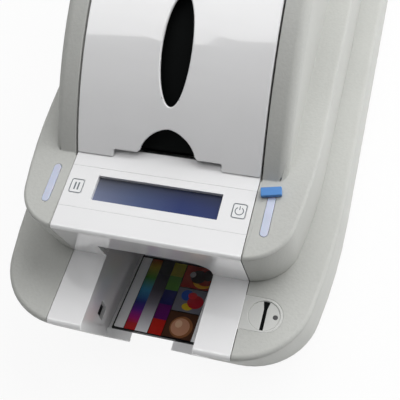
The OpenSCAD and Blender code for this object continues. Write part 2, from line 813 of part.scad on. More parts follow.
module cover_liner()
  color(ink_black) {
    across(cover_w - 2 * rib_w - 4)
      polygon(concat(arch_run(rib_h - 1.6, arch_a - 2, 6, 16), arch_run(rib_h, 6, arch_a - 2, 16)));
    for (s = [-1, 1], t = [[arch_a - 8, arch_a - 10], [10, 8]])
      across(6, s * (cover_w / 2 - rib_w - 8))
        polygon(concat(arch_run(cover_t + 0.1, t[0], t[1], 1), arch_run(rib_h - 1, t[1], t[0], 1)));
  }

module hinge_pins()
  color(steel) {
    bar(pin_r, -46, 46, hinge_y, hinge_z);
    bar(pin_r, -46, 46, lid_hinge_y, lid_hinge_z);
  }

// ---- Hopper lid ----

lid_end_a = 63;

module hopper_lid()
  color(gloss_white)
    difference() {
      union() {
        across(cover_w)
          polygon(concat(lid_run(0, y_lid + cover_gap, lid_end_a, 4), reversed(lid_run(cover_t, y_lid + cover_gap, lid_end_a, 4))));
        for (s = [-1, 1])
          across(rib_w, s * (cover_w - rib_w) / 2)
            polygon(concat(lid_run(1, y_lid + cover_gap, lid_end_a - 6, 4),
                           reversed(lid_run(rib_h, y_lid + cover_gap, lid_end_a - 12, 4))));
        for (x = moving_x) {
          bar(barrel_r, x[0], x[1], lid_hinge_y, lid_hinge_z);
          across(x[1] - x[0], (x[0] + x[1]) / 2)
            polygon([for (p = [[0, lid_end_a - 2], [0.2, lid_hinge_a], [2 * barrel_r, lid_hinge_a],
                              [cover_t, lid_end_a - 2]])
                     [tail_y + (tail_r - p[0]) * sin(p[1]), tail_z + (tail_r - p[0]) * cos(p[1])]]);
        }
      }
      for (x = moving_x) bar(pin_r + run_fit, x[0] - 1, x[1] + 1, lid_hinge_y, lid_hinge_z);
    }

// ---- Side frames and card guide ----

function lower_shafts() = [exit_y, platen_y, feed_y, clean_y, pick_y];

module frame_plate(s)
  difference() {
    union() {
      across(frame_t, s * (frame_x + frame_t / 2))
        polygon([[frame_start, frame_low], [mag_end + 6, frame_low], [mag_end + 6, mag_top - 8],
                 [mag_start - 4, mag_top - 8], [mag_start - 16, frame_top], [frame_start + 14, frame_top],
                 [frame_start, path_z + 12]]);
      translate([s > 0 ? frame_x - 10 : -frame_x, frame_start + 12, frame_low]) cube([10, mag_end - frame_start - 12, frame_t]);
    }
    for (y = lower_shafts()) bar(shaft_r + run_fit, -60, 60, y, roller_z);
    for (y = [exit_y, feed_y]) bar(2 + run_fit, -60, 60, y, idler_z);
    bar(pivot_r + run_fit, -60, 60, pivot_y, pivot_z);
    if (s < 0) bar(11.5, -60, -frame_x + 1, motor_y, motor_z);
    for (y = [platen_y + 90, platen_y + 150]) bar(9, -60, 60, y, motor_z);
    for (x = [-1, 1], y = [0, 1]) translate([s * (frame_x - 5), frame_start + 30 + y * 120, 0]) cylinder(r = 1.6, h = 20);
  }

module left_frame() color(steel) frame_plate(-1);

module right_frame() color(steel) frame_plate(1);

module card_guide()
  color(steel)
    difference() {
      translate([-frame_x, exit_y - 6, path_z - 2.4]) cube([frame_gap, mag_start - exit_y + 4 - seam, 1.6]);
      for (y = [exit_y, platen_y, feed_y, clean_y]) block(roller_l + 8, 2 * roller_r + 1, 6, [0, y, path_z - 5]);
    }

// ---- Rollers, shafts and belts ----

module drive_shaft(y, left_end)
  color(steel)
    difference() {
      union() {
        bar(shaft_r, -left_end, shaft_end, y, roller_z);
        bar(pulley_r, -belt_x - belt_w / 2, -belt_x + belt_w / 2, y, roller_z);
      }
      bar(1, -left_end - 1, -left_end + 1, y, roller_z);
    }

module sleeve(y)
  color(rubber)
    difference() {
      bar(roller_r, -roller_l / 2, roller_l / 2, y, roller_z);
      bar(shaft_r, -roller_l, roller_l, y, roller_z);
    }

module exit_shaft() drive_shaft(exit_y, belt_x + belt_w / 2 + 0.5);

module exit_roller() sleeve(exit_y);

module platen_shaft() {
  drive_shaft(platen_y, motor_belt_x + belt_w / 2 + 0.5);
  color(steel) bar(big_pulley_r, -motor_belt_x - belt_w / 2, -motor_belt_x + belt_w / 2, platen_y, roller_z);
}

module platen_roller() sleeve(platen_y);

module feed_shaft() drive_shaft(feed_y, belt_x + belt_w / 2 + 0.5);

module feed_roller() sleeve(feed_y);

module cleaning_roller()
  color("#4f7fb8") {
    bar(roller_r, -roller_l / 2, roller_l / 2, clean_y, roller_z);
    bar(shaft_r, -belt_x - belt_w / 2 - 0.5, shaft_end, clean_y, roller_z);
    bar(pulley_r, -belt_x - belt_w / 2, -belt_x + belt_w / 2, clean_y, roller_z);
  }

module pick_shaft() drive_shaft(pick_y, belt_x + belt_w / 2 + 0.5);

module pick_roller() sleeve(pick_y);

module idler(y)
  color(rubber) {
    bar(idler_r, -22, 22, y, idler_z);
    bar(2, -shaft_end, shaft_end, y, idler_z);
  }

module exit_idler() idler(exit_y);

module feed_idler() idler(feed_y);

module belt(x, a, ra, b, rb)
  color(ink_black)
    across(belt_w, x)
      difference() {
        polygon(loop(a, ra + 0.3 + belt_t, b, rb + 0.3 + belt_t));
        polygon(loop(a, ra + 0.3, b, rb + 0.3));
      }

module drive_belt() belt(-belt_x, [exit_y, roller_z], pulley_r, [pick_y, roller_z], pulley_r);

module motor_belt() belt(-motor_belt_x, [motor_y, motor_z], motor_pulley_r, [platen_y, roller_z], big_pulley_r);

module drive_motor()
  color("#3a3d40") {
    difference() {
      translate([-frame_x, motor_y - motor_s / 2, motor_z - motor_s / 2]) cube([motor_l, motor_s, motor_s]);
      for (y = [-1, 1], z = [-1, 1])
        bar(1.6, -frame_x - 1, -frame_x + 5, motor_y + y * 15.5, motor_z + z * 15.5);
      bar(shaft_r, -frame_x - 1, -frame_x + 20, motor_y, motor_z);
    }
    difference() {
      bar(11, -frame_x - frame_t - 0.4, -frame_x, motor_y, motor_z);
      bar(shaft_r, -frame_x - 5, -frame_x + 1, motor_y, motor_z);
    }
  }

module motor_pulley()
  color(steel) {
    bar(shaft_r - run_fit, -motor_belt_x - belt_w / 2 - 0.5, -frame_x + 18, motor_y, motor_z);
    bar(motor_pulley_r, -motor_belt_x - belt_w / 2, -motor_belt_x + belt_w / 2, motor_y, motor_z);
  }

// ---- Ribbon cartridge and print head ----

module cartridge_frame()
  color(ink_black) {
    for (s = [-1, 1])
      difference() {
        union() {
          bar(cheek_r, s > 0 ? cheek_x : -cheek_x - cheek_t, s > 0 ? cheek_x + cheek_t : -cheek_x, takeup_y, takeup_z);
          bar(cheek_r, s > 0 ? cheek_x : -cheek_x - cheek_t, s > 0 ? cheek_x + cheek_t : -cheek_x, supply_y, supply_z);
          across(cheek_t, s * (cheek_x + cheek_t / 2))
            polygon([[takeup_y, takeup_z + 2], [supply_y, supply_z - 6], [supply_y, supply_z + 14],
                     [takeup_y, takeup_z + 14]]);
        }
        bar(spool_pin_r + run_fit, -60, 60, takeup_y, takeup_z);
        bar(spool_pin_r + run_fit, -60, 60, supply_y, supply_z);
      }
    // cross bars and the seats on the side frames
    for (p = [[platen_y - 6, takeup_z + 9], [platen_y + 3, takeup_z + 12]])
      translate([-cheek_x - eps, p[0], p[1]]) cube([2 * (cheek_x + eps), 4, 3]);
    for (s = [-1, 1], y = [takeup_y + 6, supply_y - 10])
      translate([s > 0 ? cheek_x + cheek_t - eps : -frame_x, y, takeup_z - 3])
        cube([frame_x - cheek_x - cheek_t + eps, 6, 4]);
  }

module spool(y, z, r)
  color("#55585c") {
    bar(core_r, -cheek_x + 0.4, cheek_x - 0.4, y, z);
    bar(spool_pin_r, -cheek_x - cheek_t - 1, cheek_x + cheek_t + 1, y, z);
    bar(r, -ribbon_w / 2, ribbon_w / 2, y, z);
  }

module supply_spool() spool(supply_y, supply_z, supply_r);

module takeup_spool() spool(takeup_y, takeup_z, takeup_r);

module ribbon_film()
  color("#6a2f6e")
    across(ribbon_w)
      polygon([[supply_y - supply_r - 0.3, supply_z], [platen_y + head_w / 2 + 2.6, head_z - film_t - 0.05],
               [platen_y - head_w / 2 - 2.6, head_z - film_t - 0.05], [takeup_y + takeup_r + 0.3, takeup_z],
               [takeup_y + takeup_r + 0.3 + film_t, takeup_z], [platen_y - head_w / 2 - 2.4, head_z - 0.05],
               [platen_y + head_w / 2 + 2.4, head_z - 0.05], [supply_y - supply_r - 0.3 - film_t, supply_z]]);

module print_head()
  color("#d8d4c8") {
    translate([-29, platen_y - head_w / 2, head_z]) cube([58, head_w, head_h]);
    for (k = [0:3]) translate([-29, platen_y - head_w / 2 + k * 1.6, head_z + head_h - eps]) cube([58, 1, 5]);
  }

module head_arm()
  color(steel) {
    for (s = [-1, 1]) {
      translate([s * arm_x - arm_t / 2, platen_y - head_w / 2, arm_z]) cube([arm_t, pivot_y - platen_y + head_w / 2, arm_h]);
      bar(5, s * arm_x - arm_t / 2, s * arm_x + arm_t / 2, pivot_y, pivot_z);
      translate([s > 0 ? 29 : -arm_x, platen_y - head_w / 2, head_z + 3]) cube([arm_x - 29, head_w, arm_z + arm_h - head_z - 3]);
    }
    translate([-arm_x, pivot_y - 9, arm_z + 2]) cube([2 * arm_x, 6, 3]);
    bar(pivot_r, -shaft_end, shaft_end, pivot_y, pivot_z);
  }

// ---- Magazine ----

module card_magazine()
  color(ink_black)
    difference() {
      union() {
        translate([-frame_x, mag_start - 2, path_z - mag_floor]) cube([frame_gap, mag_end - mag_start + 6, mag_floor]);
        translate([-mag_x - mag_t, mag_start - mag_t, path_z - mag_floor])
          cube([2 * (mag_x + mag_t), mag_end - mag_start + 2 * mag_t, mag_top - path_z + mag_floor]);
      }
      translate([-mag_x, mag_start, path_z]) cube([2 * mag_x, mag_end - mag_start, big]);
      block(2 * mag_x, 10, 1.1, [0, mag_start, path_z]);
      block(roller_l + 4, 2 * roller_r + 1, 20, [0, pick_y, path_z - 10]);
      // thumb cut for lifting the cards out
      translate([0, mag_start - 5, mag_top]) rotate([-90, 0, 0]) cylinder(r = 18, h = 10);
      translate([0, mag_end - 5, mag_top]) rotate([-90, 0, 0]) cylinder(r = 18, h = 10);
    }

module blank_cards()
  color("#f4f4f2")
    for (k = [0:blank_n - 1])
      translate([-card_w / 2, mag_start + mag_fit, path_z + k * card_pitch]) cube([card_w, card_l, card_t]);

module card_weight()
  color("#1c1e20") {
    translate([-card_w / 2 + 0.5, mag_start + 1, path_z + blank_n * card_pitch]) cube([card_w - 1, card_l - 1.4, 6]);
    translate([0, mag_start + card_l / 2, path_z + blank_n * card_pitch + 6 - eps]) cylinder(r = 9, h = 8);
  }

// ---- Electronics and rear ----

module main_board()
  color("#2f6b45") {
    translate([-32, mag_start - 36, board_z]) cube([64, y_tail - mag_start + 8, board_t]);
    for (x = [-28, 28], y = [mag_start - 31, y_tail - 34]) translate([x, y, frame_low]) cylinder(r = 2.5, h = board_z - frame_low + eps);
    for (p = [[-14, mag_start, 16, 16, 2.4], [14, mag_start + 34, 12, 12, 2], [20, mag_start - 20, 20, 8, 6]])
      block(p[2], p[3], p[4], [p[0], p[1], board_z + board_t - eps]);
    for (k = [0:3]) translate([-24 + k * 9, mag_start + 60, board_z + board_t - eps]) cylinder(r = 3.5, h = 11);
  }

module panel_hole(x, z, w, h) block(w, 30, h, [panel_x + x, y_tail, panel_z + z - h / 2]);

module rear_panel()
  color(ink_black)
    difference() {
      union() {
        block(panel_w, panel_t, panel_h, [panel_x, y_tail - wall - panel_t / 2, panel_z - panel_h / 2]);
        for (s = [-1, 1])
          block(2, 9, 9, [panel_x + switch_x + s * (switch_w / 2 + 1.3), y_tail - wall - panel_t - 4.5 + eps, panel_z - 4.5]);
      }
      panel_hole(switch_x, 0, switch_w + 0.6, 12);
      bar(1.2 + run_fit, panel_x + switch_x - 20, panel_x + switch_x + 20, switch_y, panel_z);
      bar_y(4.2, panel_x - 1, panel_z);
      panel_hole(15, 0, 9, 8);
      panel_hole(29, 0, 12.5, 9);
    }

module bar_y(r, x, z) translate([x, y_tail + 10, z]) rotate([90, 0, 0]) cylinder(r = r, h = 40);

module power_switch()
  color(ink_black)
    translate([panel_x + switch_x, switch_y, panel_z])
      difference() {
        union() {
          translate([-switch_w / 2, -2, -5.4]) cube([switch_w, 6, 10.8]);
          rotate([0, 90, 0]) cylinder(r = 1.2, h = switch_w + 4, center = true);
        }
        translate([0, 25.6, 0]) rotate([0, 90, 0]) cylinder(r = 22, h = switch_w + 1, center = true);
      }

module power_socket()
  color(ink_black)
    union() {
      difference() {
        block(11, 14, 11, [panel_x - 1, y_tail - wall - panel_t - 7, panel_z - 5.5]);
        translate([0, 12, 0]) bar_y(3.2, panel_x - 1, panel_z);
      }
      translate([panel_x - 1, y_tail - wall - panel_t - 13, panel_z]) rotate([-90, 0, 0]) cylinder(r = 0.9, h = 11);
    }

module data_ports()
  color(steel)
    for (p = [[15, 11, 9, 8.6, 7.6], [29, 15, 11, 12, 8.4]])
      difference() {
        block(p[1], 16, p[2] + 1, [panel_x + p[0], y_tail - wall - panel_t - 8, panel_z - p[2] / 2 - 0.5]);
        block(p[3], 26, p[4], [panel_x + p[0], y_tail - wall, panel_z - p[4] / 2]);
      }

module fan_housing()
  color(ink_black) {
    difference() {
      block(fan_s, fan_t, fan_s, [fan_x, fan_y, fan_z - fan_s / 2]);
      bar_y(fan_s / 2 - 1.5, fan_x, fan_z);
      for (x = [-1, 1], z = [-1, 1])
        translate([fan_x + x * 16, y_tail, fan_z + z * 16]) rotate([90, 0, 0]) cylinder(r = 1.7, h = 40);
    }
    // spider that holds the rotor
    translate([fan_x, fan_y - fan_t / 2, fan_z]) rotate([-90, 0, 0])
      difference() {
        union() {
          cylinder(r = 8, h = 1.5);
          for (k = [0:2]) rotate(k * 120 + 90) translate([0, -1, 0]) cube([fan_s / 2 - 1, 2, 1.5]);
        }
        translate([0, 0, -1]) cylinder(r = 1.5 + run_fit, h = 4);
      }
  }

module fan_rotor()
  color("#222426")
    translate([fan_x, fan_y, fan_z]) rotate([90, 0, 0]) {
      translate([0, 0, -2.8]) cylinder(r = 8, h = 6);
      cylinder(r = 1.5, h = fan_t / 2 - 0.3);
      for (k = [0:6]) rotate(k * 360 / 7) translate([12, 0, 0.2]) rotate([40, 0, 0]) cube([10, 7, 1.2], center = true);
    }

lower_case();
bottom_plate();
rubber_feet();
case_screws();
tray_liner();
tray_sensor();
finished_cards();
upper_case();
front_fascia();
control_panel();
panel_ramp();
display_window();
display_module();
light_strips();
lock_seat();
lock_dial();
pause_key();
power_key();
release_tab();
latch_arm();
front_cover();
cover_liner();
hinge_pins();
hopper_lid();
left_frame();
right_frame();
card_guide();
exit_shaft();
exit_roller();
platen_shaft();
platen_roller();
feed_shaft();
feed_roller();
cleaning_roller();
pick_shaft();
pick_roller();
exit_idler();
feed_idler();
drive_belt();
motor_belt();
drive_motor();
motor_pulley();
cartridge_frame();
supply_spool();
takeup_spool();
ribbon_film();
print_head();
head_arm();
card_magazine();
blank_cards();
card_weight();
main_board();
data_ports();
power_socket();
power_switch();
rear_panel();
fan_housing();
fan_rotor();
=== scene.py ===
"""Looks of a desktop printer for plastic identity cards, dressed over its fixed frame.

Everything is in metres in the frame of the solids: +Z is up and the card exit faces -Y. Sizes of
pieces are fields in millimetres, turned to metres where a mesh is made. The studio is in metres.
"""

import logging
import math
from dataclasses import dataclass
from typing import Any, Callable, Mapping, NamedTuple, Sequence

import bmesh
import bpy
from mathutils import Matrix, Vector


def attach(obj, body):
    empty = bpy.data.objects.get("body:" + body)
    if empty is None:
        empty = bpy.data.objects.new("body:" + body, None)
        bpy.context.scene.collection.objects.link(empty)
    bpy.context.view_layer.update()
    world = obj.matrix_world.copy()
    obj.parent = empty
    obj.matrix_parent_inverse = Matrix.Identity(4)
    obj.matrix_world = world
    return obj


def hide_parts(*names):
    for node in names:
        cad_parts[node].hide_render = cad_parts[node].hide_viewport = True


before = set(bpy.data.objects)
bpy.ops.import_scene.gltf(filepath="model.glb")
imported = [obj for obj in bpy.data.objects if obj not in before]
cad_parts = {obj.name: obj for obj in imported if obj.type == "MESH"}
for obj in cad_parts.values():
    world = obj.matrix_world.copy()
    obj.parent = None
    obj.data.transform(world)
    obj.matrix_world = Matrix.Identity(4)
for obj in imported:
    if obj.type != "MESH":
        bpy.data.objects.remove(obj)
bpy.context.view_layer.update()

LOG = logging.getLogger("card_printer")
MM = 0.001
CARD_W, CARD_L = 53.98, 85.6  # the standard card, in millimetres
MAP_MM = 100.0  # millimetres of the card that one unit of its map stands for
WHITE = (1.0, 1.0, 1.0, 1.0)
PRINTER = "printer"  # the body that stays still

Point2 = tuple[float, float]
Point3 = tuple[float, float, float]
Colour = tuple[float, float, float, float]
Tree = bpy.types.NodeTree
Node = bpy.types.Node
Socket = bpy.types.NodeSocket
Piece = bpy.types.Object
Form = bmesh.types.BMesh
Shaping = Callable[[Form], None]
Inputs = Mapping[Any, Any]


# ---- Colours and nodes ----


def linear(code: str) -> Colour:
    """Turns an sRGB hex code such as "#c6c7c4" into the linear colour of a shader socket."""
    parts = [int(code[k : k + 2], 16) / 255 for k in (1, 3, 5)]
    red, green, blue = (c / 12.92 if c <= 0.04045 else ((c + 0.055) / 1.055) ** 2.4 for c in parts)
    return red, green, blue, 1.0


def shade(code: str, share: float) -> Colour:
    """Returns the linear colour of a hex code made darker or lighter by a share of itself."""
    red, green, blue, alpha = linear(code)
    return red * share, green * share, blue * share, alpha


def fill_inputs(tree: Tree, node: Node, inputs: Inputs) -> None:
    """Links or sets a node's inputs: output sockets or values, by input name or number."""
    for key, value in inputs.items():
        if isinstance(value, Socket):
            tree.links.new(value, node.inputs[key])
        else:
            node.inputs[key].default_value = value


def add_node(tree: Tree, kind: str, inputs: Inputs | None = None, **settings: Any) -> Node:
    """Adds one node with its settings, its values and its links.

    Args:
        tree: Node tree that receives the node.
        kind: Blender's name of the node type.
        inputs: Values or output sockets by input name or number.
        **settings: Attributes of the node.

    Returns:
        The new node.
    """
    node = tree.nodes.new(kind)
    for key, value in settings.items():
        setattr(node, key, value)
    fill_inputs(tree, node, inputs or {})
    return node


def maths(tree: Tree, how: str, first: Any, second: Any = 0.0) -> Socket:
    """Returns the result of a Math node on one or two values or sockets."""
    return add_node(tree, "ShaderNodeMath", {0: first, 1: second}, operation=how).outputs[0]


def share_between(tree: Tree, value: Socket, low_mm: float, high_mm: float) -> Socket:
    """Returns 0 to 1 for a place in metres that runs from one place in millimetres to another."""
    return add_node(tree, "ShaderNodeMapRange",
                    {"Value": value, "From Min": low_mm * MM, "From Max": high_mm * MM}).outputs[0]


def blend(tree: Tree, mask: Any, below: Any, above: Any, how: str = "MIX") -> Socket:
    """Lays a colour over another where the mask is 1."""
    return add_node(tree, "ShaderNodeMix", {0: mask, 6: below, 7: above}, data_type="RGBA",
                    blend_type=how).outputs[2]


def ramp(tree: Tree, share: Socket, stops: Sequence[tuple[float, Colour]],
         step: bool = False) -> Socket:
    """Turns a number from 0 to 1 into a colour, smoothly between the stops or in steps."""
    node = add_node(tree, "ShaderNodeValToRGB", {"Fac": share})
    table = node.color_ramp
    table.interpolation = "CONSTANT" if step else "LINEAR"
    while len(table.elements) > 1:
        table.elements.remove(table.elements[-1])
    table.elements[0].position, table.elements[0].color = stops[0]
    for place, colour in stops[1:]:
        table.elements.new(place).color = colour
    return node.outputs["Color"]


def new_material(name: str) -> tuple[bpy.types.Material, Tree]:
    """Makes a material and returns it with its empty node tree."""
    material = bpy.data.materials.new(name)
    material.use_nodes = True
    material.node_tree.nodes.clear()
    return material, material.node_tree


def set_surface(tree: Tree, shader: Node) -> None:
    """Ends a material's tree with the shader of its surface."""
    add_node(tree, "ShaderNodeOutputMaterial", {"Surface": shader.outputs[0]})


# ---- Finishes ----


@dataclass(frozen=True)
class Finish:
    """A finish and the record's slot it stands for; subclasses add what the eye sees up close."""

    name: str
    slot: str
    colour: str
    roughness: float

    def material(self) -> bpy.types.Material:
        """Returns the material, built the first time it is asked for."""
        found = bpy.data.materials.get(self.name)
        if found is not None:
            return found
        material, tree = new_material(self.name)
        shader = add_node(tree, "ShaderNodeBsdfPrincipled", {"Roughness": self.roughness})
        set_surface(tree, shader)
        fill_inputs(tree, shader, self.looks(tree))
        return material

    def looks(self, tree: Tree) -> Inputs:
        """Returns the shader's inputs, with the patterns behind them added to the tree."""
        raise NotImplementedError

    def place(self, tree: Tree) -> Socket:
        """Returns the piece's own coordinates, in metres."""
        return add_node(tree, "ShaderNodeTexCoord").outputs["Object"]

    def axis(self, tree: Tree, number: int) -> Socket:
        """Returns one of the piece's own coordinates, in metres."""
        return add_node(tree, "ShaderNodeSeparateXYZ", {0: self.place(tree)}).outputs[number]

    def noise(self, tree: Tree, size_mm: float, detail: float,
              stretch: Point3 | None = None) -> Socket:
        """Returns noise from 0 to 1 with octaves of finer detail; stretch scales the axes."""
        place = self.place(tree)
        if stretch is not None:
            place = add_node(tree, "ShaderNodeMapping",
                             {"Vector": place, "Scale": stretch}).outputs[0]
        return add_node(tree, "ShaderNodeTexNoise", {"Vector": place, "Scale": 1 / (size_mm * MM),
                                                     "Detail": detail}).outputs["Fac"]

    def tone(self, tree: Tree, pattern: Socket, spread: float) -> Socket:
        """Returns the colour, made a little darker and lighter by the pattern."""
        return ramp(tree, pattern,
                    [(0.3, shade(self.colour, 1 - spread)), (0.7, shade(self.colour, 1 + spread))])

    def gloss(self, tree: Tree, pattern: Socket, low: float, high: float) -> Socket:
        """Returns a roughness that follows the pattern."""
        return add_node(tree, "ShaderNodeMapRange",
                        {"Value": pattern, "To Min": low, "To Max": high}).outputs[0]

    def bump(self, tree: Tree, pattern: Socket, depth_mm: float) -> Socket:
        """Returns a surface raised by the pattern, depth_mm from its lowest to its highest."""
        return add_node(tree, "ShaderNodeBump",
                        {"Height": pattern, "Distance": depth_mm * MM, "Strength": 1.0}).outputs[0]

    def tiles(self, tree: Tree, size_mm: Point2, joint_mm: float, colours: Sequence[Colour],
              offset: float) -> Node:
        """Adds tiles in two colours, with joints in a third; offset shifts every second row."""
        return add_node(tree, "ShaderNodeTexBrick",
                        {"Vector": self.place(tree), "Scale": 1.0, "Mortar Size": joint_mm * MM,
                         "Brick Width": size_mm[0] * MM, "Row Height": size_mm[1] * MM,
                         "Color1": colours[0], "Color2": colours[1], "Mortar": colours[2]},
                        offset=offset)


@dataclass(frozen=True)
class MouldedPlastic(Finish):
    """ABS moulded in a spark-eroded tool: fine grain, matt, faintly cloudy from afar."""

    grain_mm: float = 1.4
    depth_mm: float = 0.12
    spread: float = 0.05
    specular: float = 0.5
    cloud_mm: float = 45.0

    def looks(self, tree: Tree) -> Inputs:
        """Adds grain to the colour, the gloss and the surface."""
        grain = self.noise(tree, self.grain_mm, 3.0)
        clouds = self.noise(tree, self.cloud_mm, 1.0)
        mottle = maths(tree, "MULTIPLY", maths(tree, "ADD", grain, clouds), 0.5)
        return {"Base Color": self.tone(tree, mottle, self.spread),
                "Roughness": self.gloss(tree, grain, self.roughness - 0.07, self.roughness + 0.07),
                "Specular IOR Level": self.specular,
                "Normal": self.bump(tree, grain, self.depth_mm)}


@dataclass(frozen=True)
class GlossPlastic(Finish):
    """ABS moulded in a polished tool: mirror-like, with the long faint waves of moulding."""

    coat: float = 1.0
    wave_mm: float = 26.0
    haze_mm: float = 1.4

    def looks(self, tree: Tree) -> Inputs:
        """Adds the waves, a faint haze in the gloss and a thin clear layer."""
        waves, haze = self.noise(tree, self.wave_mm, 1.0), self.noise(tree, self.haze_mm, 3.0)
        return {"Base Color": self.tone(tree, waves, 0.012),
                "Roughness": self.gloss(tree, haze, self.roughness * 0.8, self.roughness * 1.25),
                "Coat Weight": self.coat, "Coat Roughness": 0.04, "Coat IOR": 1.6,
                "Normal": self.bump(tree, waves, 0.05)}


@dataclass(frozen=True)
class Metal(Finish):
    """Sheet or bar metal with the fine lines that rolling or turning leaves."""

    lines: Point3 = (1.0, 0.04, 1.0)
    line_mm: float = 0.5

    def looks(self, tree: Tree) -> Inputs:
        """Adds the lines to the colour, the gloss and the surface."""
        streak = self.noise(tree, self.line_mm, 3.0, self.lines)
        return {"Metallic": 1.0,
                "Base Color": self.tone(tree, streak, 0.08),
                "Roughness": self.gloss(tree, streak, self.roughness - 0.08, self.roughness + 0.1),
                "Normal": self.bump(tree, streak, 0.008)}


@dataclass(frozen=True)
class Rubber(Finish):
    """Ground rubber: dull, with a fine dusty tooth that grips the cards."""

    tooth_mm: float = 0.35
    mottle_mm: float = 6.0

    def looks(self, tree: Tree) -> Inputs:
        """Adds the tooth and a dusty mottle."""
        return {"Base Color": self.tone(tree, self.noise(tree, self.mottle_mm, 3.0), 0.12),
                "Specular IOR Level": 0.3,
                "Normal": self.bump(tree, self.noise(tree, self.tooth_mm, 4.0), 0.05)}


@dataclass(frozen=True)
class LightGuide(Finish):
    """Clear acrylic with a milky back: pale blue and softly cloudy."""

    mottle_mm: float = 5.0
    ripple_mm: float = 8.0

    def looks(self, tree: Tree) -> Inputs:
        """Adds a milky mottle, a clear layer and light passing inside."""
        return {"Base Color": self.tone(tree, self.noise(tree, self.mottle_mm, 1.0), 0.03),
                "Coat Weight": 0.8, "Coat Roughness": 0.05,
                "Subsurface Weight": 0.15, "Subsurface Scale": 2 * MM,
                "Normal": self.bump(tree, self.noise(tree, self.ripple_mm, 1.0), 0.01)}


@dataclass(frozen=True)
class DisplayGlass(Finish):
    """Dot-matrix display behind a clear window: deep blue, a painted reflection greys one side and
    painted shade darkens the rear.
    """

    # The first two colours paint a reflection on the window: grey-blue at one side, fading into the
    # deep blue
    haze: str = "#707892"
    middle: str = "#48567c"
    half_w_mm: float = 32.0
    # Where the painted shade along the far edge begins and where it is darkest
    near_y_mm: float = -141.9
    far_y_mm: float = -128.0
    dot_mm: float = 0.62

    def looks(self, tree: Tree) -> Inputs:
        """Adds the painted reflection across, the painted shade along the far edge and the grid of
        dots.
        """
        # Painted reflection: grey-blue at the low-x side, deep blue towards the other
        haze = ramp(tree, share_between(tree, self.axis(tree, 0), -self.half_w_mm, self.half_w_mm),
                    [(0.0, linear(self.haze)), (0.35, linear(self.middle)),
                     (0.7, linear(self.colour)), (1.0, shade(self.colour, 0.9))])
        # Painted shade: the colour darkens towards the far edge, where a shadow falls on the window
        shadow = ramp(tree, share_between(tree, self.axis(tree, 1), self.near_y_mm, self.far_y_mm),
                      [(0.0, WHITE), (0.45, (0.86, 0.86, 0.86, 1)), (0.8, (0.58, 0.56, 0.52, 1)),
                       (1.0, (0.4, 0.37, 0.32, 1))])
        dots = self.tiles(tree, (self.dot_mm, self.dot_mm), 0.06 * self.dot_mm,
                          (WHITE, (0.97, 0.97, 0.97, 1), (0.82, 0.82, 0.84, 1)), 0.0)
        lit = blend(tree, 1.0, haze, shadow, "MULTIPLY")
        return {"Base Color": blend(tree, 1.0, lit, dots.outputs["Color"], "MULTIPLY"),
                "Specular IOR Level": 0.25, "Coat Weight": 0.15, "Coat Roughness": 0.08}


@dataclass(frozen=True)
class DyeFilm(Finish):
    """Thin dye ribbon: glossy panels of yellow, magenta, cyan and black that follow one another."""

    panel_mm: float = 24.0
    dyes: tuple[str, ...] = ("#c9a71d", "#8e1f5c", "#1a6f9c", "#141418")

    def looks(self, tree: Tree) -> Inputs:
        """Adds the panels along the card path and fine creases."""
        count = len(self.dyes)
        turns = maths(tree, "DIVIDE", self.axis(tree, 1), count * self.panel_mm * MM)
        stops = [(k / count, linear(code)) for k, code in enumerate(self.dyes)]
        panels = ramp(tree, maths(tree, "FRACT", turns), stops, step=True)
        return {"Base Color": panels, "Coat Weight": 0.5,
                "Normal": self.bump(tree, self.noise(tree, 3.0, 2.0, (0.15, 1.0, 1.0)), 0.03)}


@dataclass(frozen=True)
class BoardMask(Finish):
    """Green solder mask over copper: tracks show as slightly lighter lines."""

    tile_mm: Point2 = (7.68, 2.4)
    track_mm: float = 0.3

    def looks(self, tree: Tree) -> Inputs:
        """Adds the tracks to the colour and the surface."""
        colours = (linear(self.colour), shade(self.colour, 0.9), shade(self.colour, 1.7))
        tracks = self.tiles(tree, self.tile_mm, self.track_mm, colours, 0.37)
        return {"Base Color": tracks.outputs["Color"], "Coat Weight": 0.4,
                "Normal": self.bump(tree, tracks.outputs["Fac"], 0.03)}


class Spot(NamedTuple):
    """A round or oval spot of a card's picture, in millimetres across and along the card."""

    middle: Point2
    radius: float
    squeeze: float
    colour: str


class Picture(NamedTuple):
    """A small plain picture on a card: its ends along the card, its ground and its spots."""

    near: float
    far: float
    ground: str
    spots: tuple[Spot, ...]


# Colours along the card, each with its place in millimetres
RAINBOW = ((0, "#c42420"), (5, "#b81e24"), (8.5, "#b01878"), (15, "#5a2090"), (20, "#2a3080"),
           (29, "#3c92bc"), (38, "#4e8c34"), (46, "#a09028"), (52, "#8c3018"))
GREYS = ((0, "#f6f6fa"), (8, "#d0ced4"), (20, "#7c7884"), (30, "#4a4650"), (45, "#1e1d20"))
PATCHES = ((0, "#b4221a"), (10.9, "#5a1660"), (21.2, "#22245c"), (31.5, "#548434"),
           (41.8, "#948c28"))
FRUIT_ON_A_CLOTH = Picture(1.0, 18.2, "#4a2f22", (
    Spot((37.5, 8.6), 6.4, 0.9, "#8a5a3a"), Spot((37.0, 8.6), 5.2, 0.9, "#c08c70"),
    Spot((35.6, 10.4), 2.0, 0.8, "#d8b090")))
PAINT_IN_WATER = Picture(18.8, 35.2, "#6e6e78", (
    Spot((34.6, 30.4), 3.4, 0.9, "#1e4aa0"), Spot((36.8, 22.6), 3.2, 1.3, "#d0b028"),
    Spot((40.4, 26.6), 4.6, 1.0, "#a81e2c"), Spot((37.8, 30.6), 2.6, 1.1, "#c83034")))
LEAF_ON_RED = Picture(35.8, 52.0, "#96281a", (
    Spot((40.6, 41.2), 5.6, 1.2, "#d8a028"), Spot((41.6, 43.6), 5.4, 1.1, "#96281a"),
    Spot((37.2, 44.6), 4.4, 0.9, "#241614"), Spot((42.8, 46.8), 3.2, 0.8, "#1c1212"),
    Spot((33.6, 45.6), 1.7, 0.8, "#b0a8a4")))


